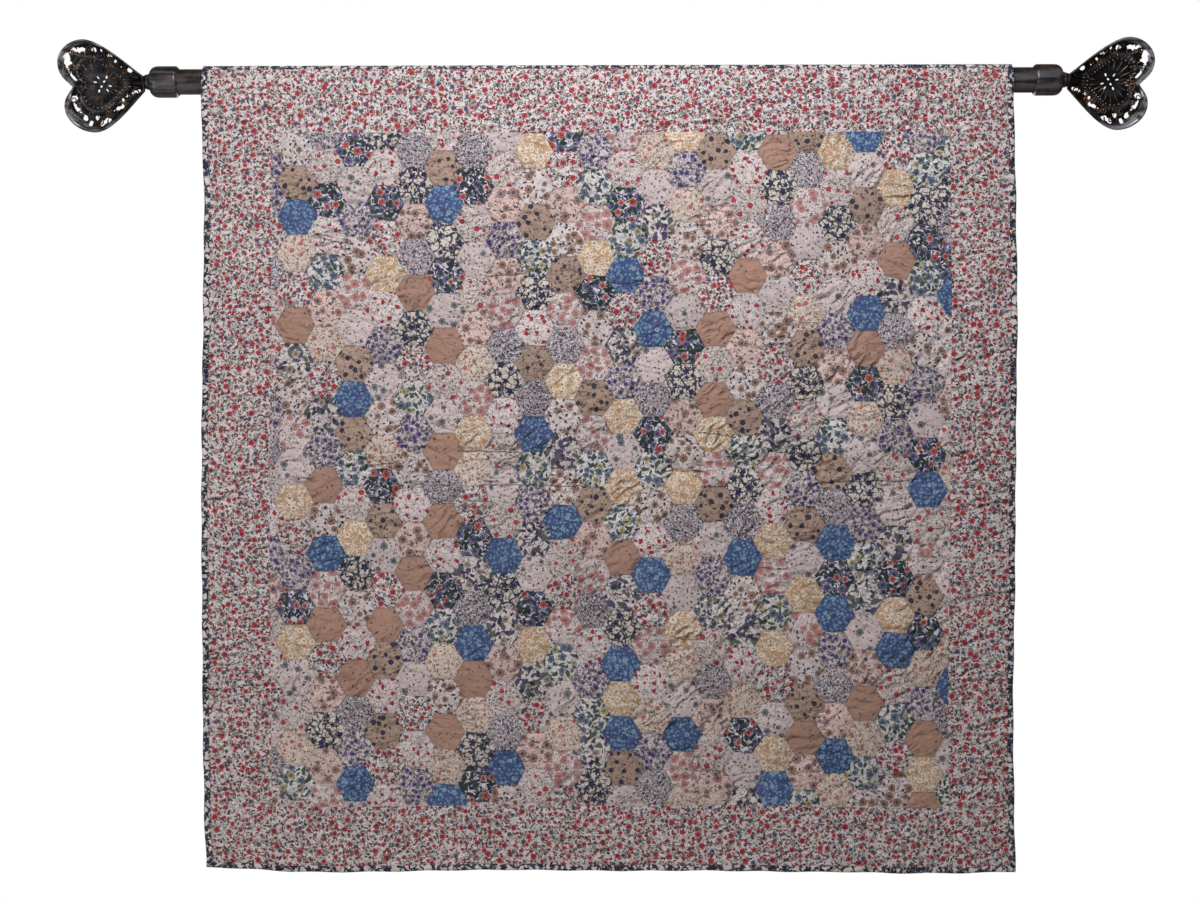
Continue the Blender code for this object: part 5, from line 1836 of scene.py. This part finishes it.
# %% Turn the lines into solid work and add the beads
relief_object = bpy.data.objects.new("heart_relief", relief)
bpy.context.scene.collection.objects.link(relief_object)
choose_only(relief_object)
bpy.ops.object.convert(target='MESH')
edit_all(relief_object)
for index in range(BEAD_COUNT):
    place = heart_place(2 * math.pi * index / BEAD_COUNT, BEAD_REACH, 0.0008)
    bpy.ops.mesh.primitive_uv_sphere_add(segments=BEAD_SIDES, ring_count=BEAD_RINGS, radius=BEAD_RADIUS,
                                         location=place)
bpy.ops.object.mode_set(mode='OBJECT')
print("raised work:", len(relief_object.data.polygons), "faces with", BEAD_COUNT, "beads")

# %% [markdown]
# Hands and dusters reach the raised work first. Each point stores how worn it is, and how
# much pale grey it takes, which is partly rubbed bright iron and partly painted highlight:
# the rim grows lighter toward the heart's tip, and the beads are light all round.

# %% Mark what is worn, and where rubbed brightness and painted highlight lie
RIM_LOW, RIM_HIGH, BEAD_POLISH_AND_HIGHLIGHT = 0.0006, 0.0040, 0.55
TIP_NEAR, TIP_FAR = 0.030, 0.080
DISH_WORN, RELIEF_WORN = 0.04, 0.9
ALL_BEAD_POINTS = BEAD_COUNT * BEAD_POINTS


def share_between(value, low, high):
    return max(0.0, min(1.0, (value - low) / (high - low)))


# Rubbed brightness and painted highlight: the rim lightens as it rises and toward the heart's tip, and
# the beads lighten all round.
for piece, worn, bead_points in ((dish, DISH_WORN, 0), (relief_object, RELIEF_WORN, ALL_BEAD_POINTS)):
    points = [vert.co for vert in piece.data.vertices]
    rim = [share_between(-point.y, RIM_LOW, RIM_HIGH) for point in points]
    far = [share_between(point.x, TIP_NEAR, TIP_FAR) for point in points]
    shine = [height * (0.08 + 0.60 * out) for height, out in zip(rim, far)]
    on_bead = [0.0] * (len(points) - bead_points) + [1.0] * bead_points
    rubbed = [worn * (1.0 - bead) for bead in on_bead]
    polish_and_highlight = [max(here, BEAD_POLISH_AND_HIGHLIGHT * bead) for here, bead in zip(shine, on_bead)]
    for label, values in (("worn", rubbed), ("polish_and_highlight", polish_and_highlight)):
        piece.data.attributes.new(label, 'FLOAT', 'POINT').data.foreach_set("value", values)
print("points marked:", len(dish.data.vertices) + len(relief_object.data.vertices))

# %% Join the raised work, the dish and the root
choose_only(dish)
relief_object.select_set(True)
bpy.ops.object.join()
edit_all(dish)
bpy.ops.mesh.select_all(action='DESELECT')
bpy.ops.mesh.primitive_cone_add(
    vertices=40, radius1=SOCKET_RINGS[-1].radius, radius2=ROOT_TIP, depth=ROOT_LENGTH + 2 * GAP,
    rotation=(0, math.pi / 2, 0), location=(ROOT_LENGTH / 2 - GAP, 0, 0))
bpy.ops.object.mode_set(mode='OBJECT')
bpy.ops.object.shade_smooth_by_angle(angle=math.radians(40))
print("heart pattern:", len(dish.data.polygons), "faces")

# %% Place one heart at each end
heart_root = SOCKET_MOUTH + SOCKET_RINGS[-1].out + 2 * GAP
hearts = {}
for word, side in SIDES.items():
    heart = dish.copy()
    heart.data = dish.data.copy()
    heart.name = heart.data.name = "iron_heart_" + word
    bpy.context.scene.collection.objects.link(heart)
    heart.data.transform(
        Matrix.Translation((side * heart_root, 0, 0)) @ Matrix.Diagonal((side, 1, 1, 1))
        @ Matrix.Rotation(HEART_ROLL, 4, 'X') @ Matrix.Rotation(HEART_DROOP, 4, 'Y')
        @ Matrix.Diagonal((HEART_SHRUNK, 1, HEART_SHRUNK, 1)))
    if side < 0:
        heart.data.flip_normals()
    hearts[word] = heart
bpy.data.objects.remove(dish)
print("hearts:", [len(heart.data.polygons) for heart in hearts.values()])

# %% [markdown]
# ## Aged iron
# The iron is nearly black under old wax, so it shines partly as metal and partly as wax.
# Where hands and dusters have rubbed it a bronze brown shows through. A pale grey, partly
# rubbed bright iron and partly painted highlight, is mixed in along long streaks. The rod
# and the hearts share this wear and painted highlight, so it is one shader group, and each
# gives its own amount.

# %% Group for worn iron
iron_group, graph, given, result = new_group(
    "worn_iron", [("Place", "Vector", None), ("Worn", "Float", 0.5), ("Polish_and_highlight", "Float", 0.0)],
    [("Colour", "Color"), ("Roughness", "Float"), ("Height", "Float")])
cloud = graph.noise(given["Place"], 0.09, 4.0, kind='3D')["Fac"]
grit = graph.noise(given["Place"], 1.3, 3.0, kind='3D')["Fac"]
drawn = graph.vector('MULTIPLY', given["Place"], (0.05, 0.55, 0.55))
streak = graph.noise(drawn, 1.0, 3.0, kind='3D')["Fac"]
rub = graph.sum('MULTIPLY', graph.step(cloud, 0.44, 0.60), graph.step(grit, 0.36, 0.58))
rub = graph.sum('MULTIPLY', rub, graph.sum('MULTIPLY_ADD', streak, 0.8, 0.5))
rub = graph.sum('MINIMUM', graph.sum('MULTIPLY', rub, given["Worn"]), 1.0)
black = graph.mix(grit, screen_colour((12, 11, 13)), screen_colour((31, 29, 33)))
grey = graph.mix(streak, screen_colour((150, 147, 156)), screen_colour((196, 193, 200)))
# Painted highlight, with rubbed bright iron: pale grey is mixed into the black in long streaks.
stretched = graph.vector('MULTIPLY', given["Place"], (0.010, 0.15, 0.15))
bands = graph.noise(stretched, 1.0, 2.0, kind='3D')["Fac"]
bands = graph.sum('MULTIPLY_ADD', graph.step(bands, 0.40, 0.60), 1.5, 0.25)
iron = graph.mix(graph.sum('MINIMUM', graph.sum('MULTIPLY', given["Polish_and_highlight"], bands), 1.0), black, grey)
graph.feed(result["Colour"], graph.mix(rub, iron, screen_colour((184, 138, 98))))
graph.feed(result["Roughness"], graph.sum('MULTIPLY_ADD', grit, 0.24, 0.20))
graph.feed(result["Height"], graph.sum('ADD', graph.sum('MULTIPLY', grit, 0.5), cloud))
print("worn iron ready")

# %% Two irons, cast and drawn
def aged_iron(name, worn, polish_and_highlight):
    material = bpy.data.materials.new(name)
    material.use_nodes = True
    graph = Graph(material.node_tree)
    shader = material.node_tree.nodes["Principled BSDF"]
    place = graph.vector('SCALE', graph.add("ShaderNodeTexCoord").outputs["Object"], scale=1000.0)
    iron = graph.add("ShaderNodeGroup", node_tree=iron_group)
    for label, value in (("Place", place), ("Worn", worn), ("Polish_and_highlight", polish_and_highlight)):
        if isinstance(value, str):
            value = graph.add("ShaderNodeAttribute", attribute_name=value).outputs["Fac"]
        graph.feed(iron.inputs[label], value)
    bump = graph.add("ShaderNodeBump", {"Strength": 0.35, "Distance": 0.0006,
                                        "Height": iron.outputs["Height"]})
    graph.feed(shader.inputs["Base Color"], iron.outputs["Colour"])
    graph.feed(shader.inputs["Roughness"], iron.outputs["Roughness"])
    graph.feed(shader.inputs["Normal"], bump.outputs[0])
    shader.inputs["Metallic"].default_value = 0.45
    shader.inputs["Specular IOR Level"].default_value = 0.35
    return material


# The hearts read their wear, rubbed brightness and painted highlight from each point; the rod takes fixed
# shares.
cast_iron = aged_iron("cast_iron", "worn", "polish_and_highlight")
rod_iron = aged_iron("rod_iron", 0.22, 0.20)
rod.data.materials.append(rod_iron)
for cup in sockets.values():
    cup.data.materials.append(rod_iron)
for heart in hearts.values():
    heart.data.materials.clear()
    heart.data.materials.append(cast_iron)
print("irons ready")

# %% [markdown]
# ## Put each piece in place of its solid
# Each piece hides the solid that it stands for, and rides on the one body.

# %% Ride and replace
ONE_BODY = "root"
for side, border in borders.items():
    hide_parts("border_" + side)
    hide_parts("binding_" + side)
    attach(border, ONE_BODY)
    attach(bindings[side], ONE_BODY)
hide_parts("patchwork")
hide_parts("hanging_sleeve")
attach(patchwork, ONE_BODY)
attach(sleeve, ONE_BODY)
metalwork = {"rod": rod}
for word in ("left", "right"):
    metalwork["socket_" + word] = sockets[word]
    metalwork["heart_" + word] = hearts[word]
for node, piece in metalwork.items():
    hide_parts(node)
    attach(piece, ONE_BODY)
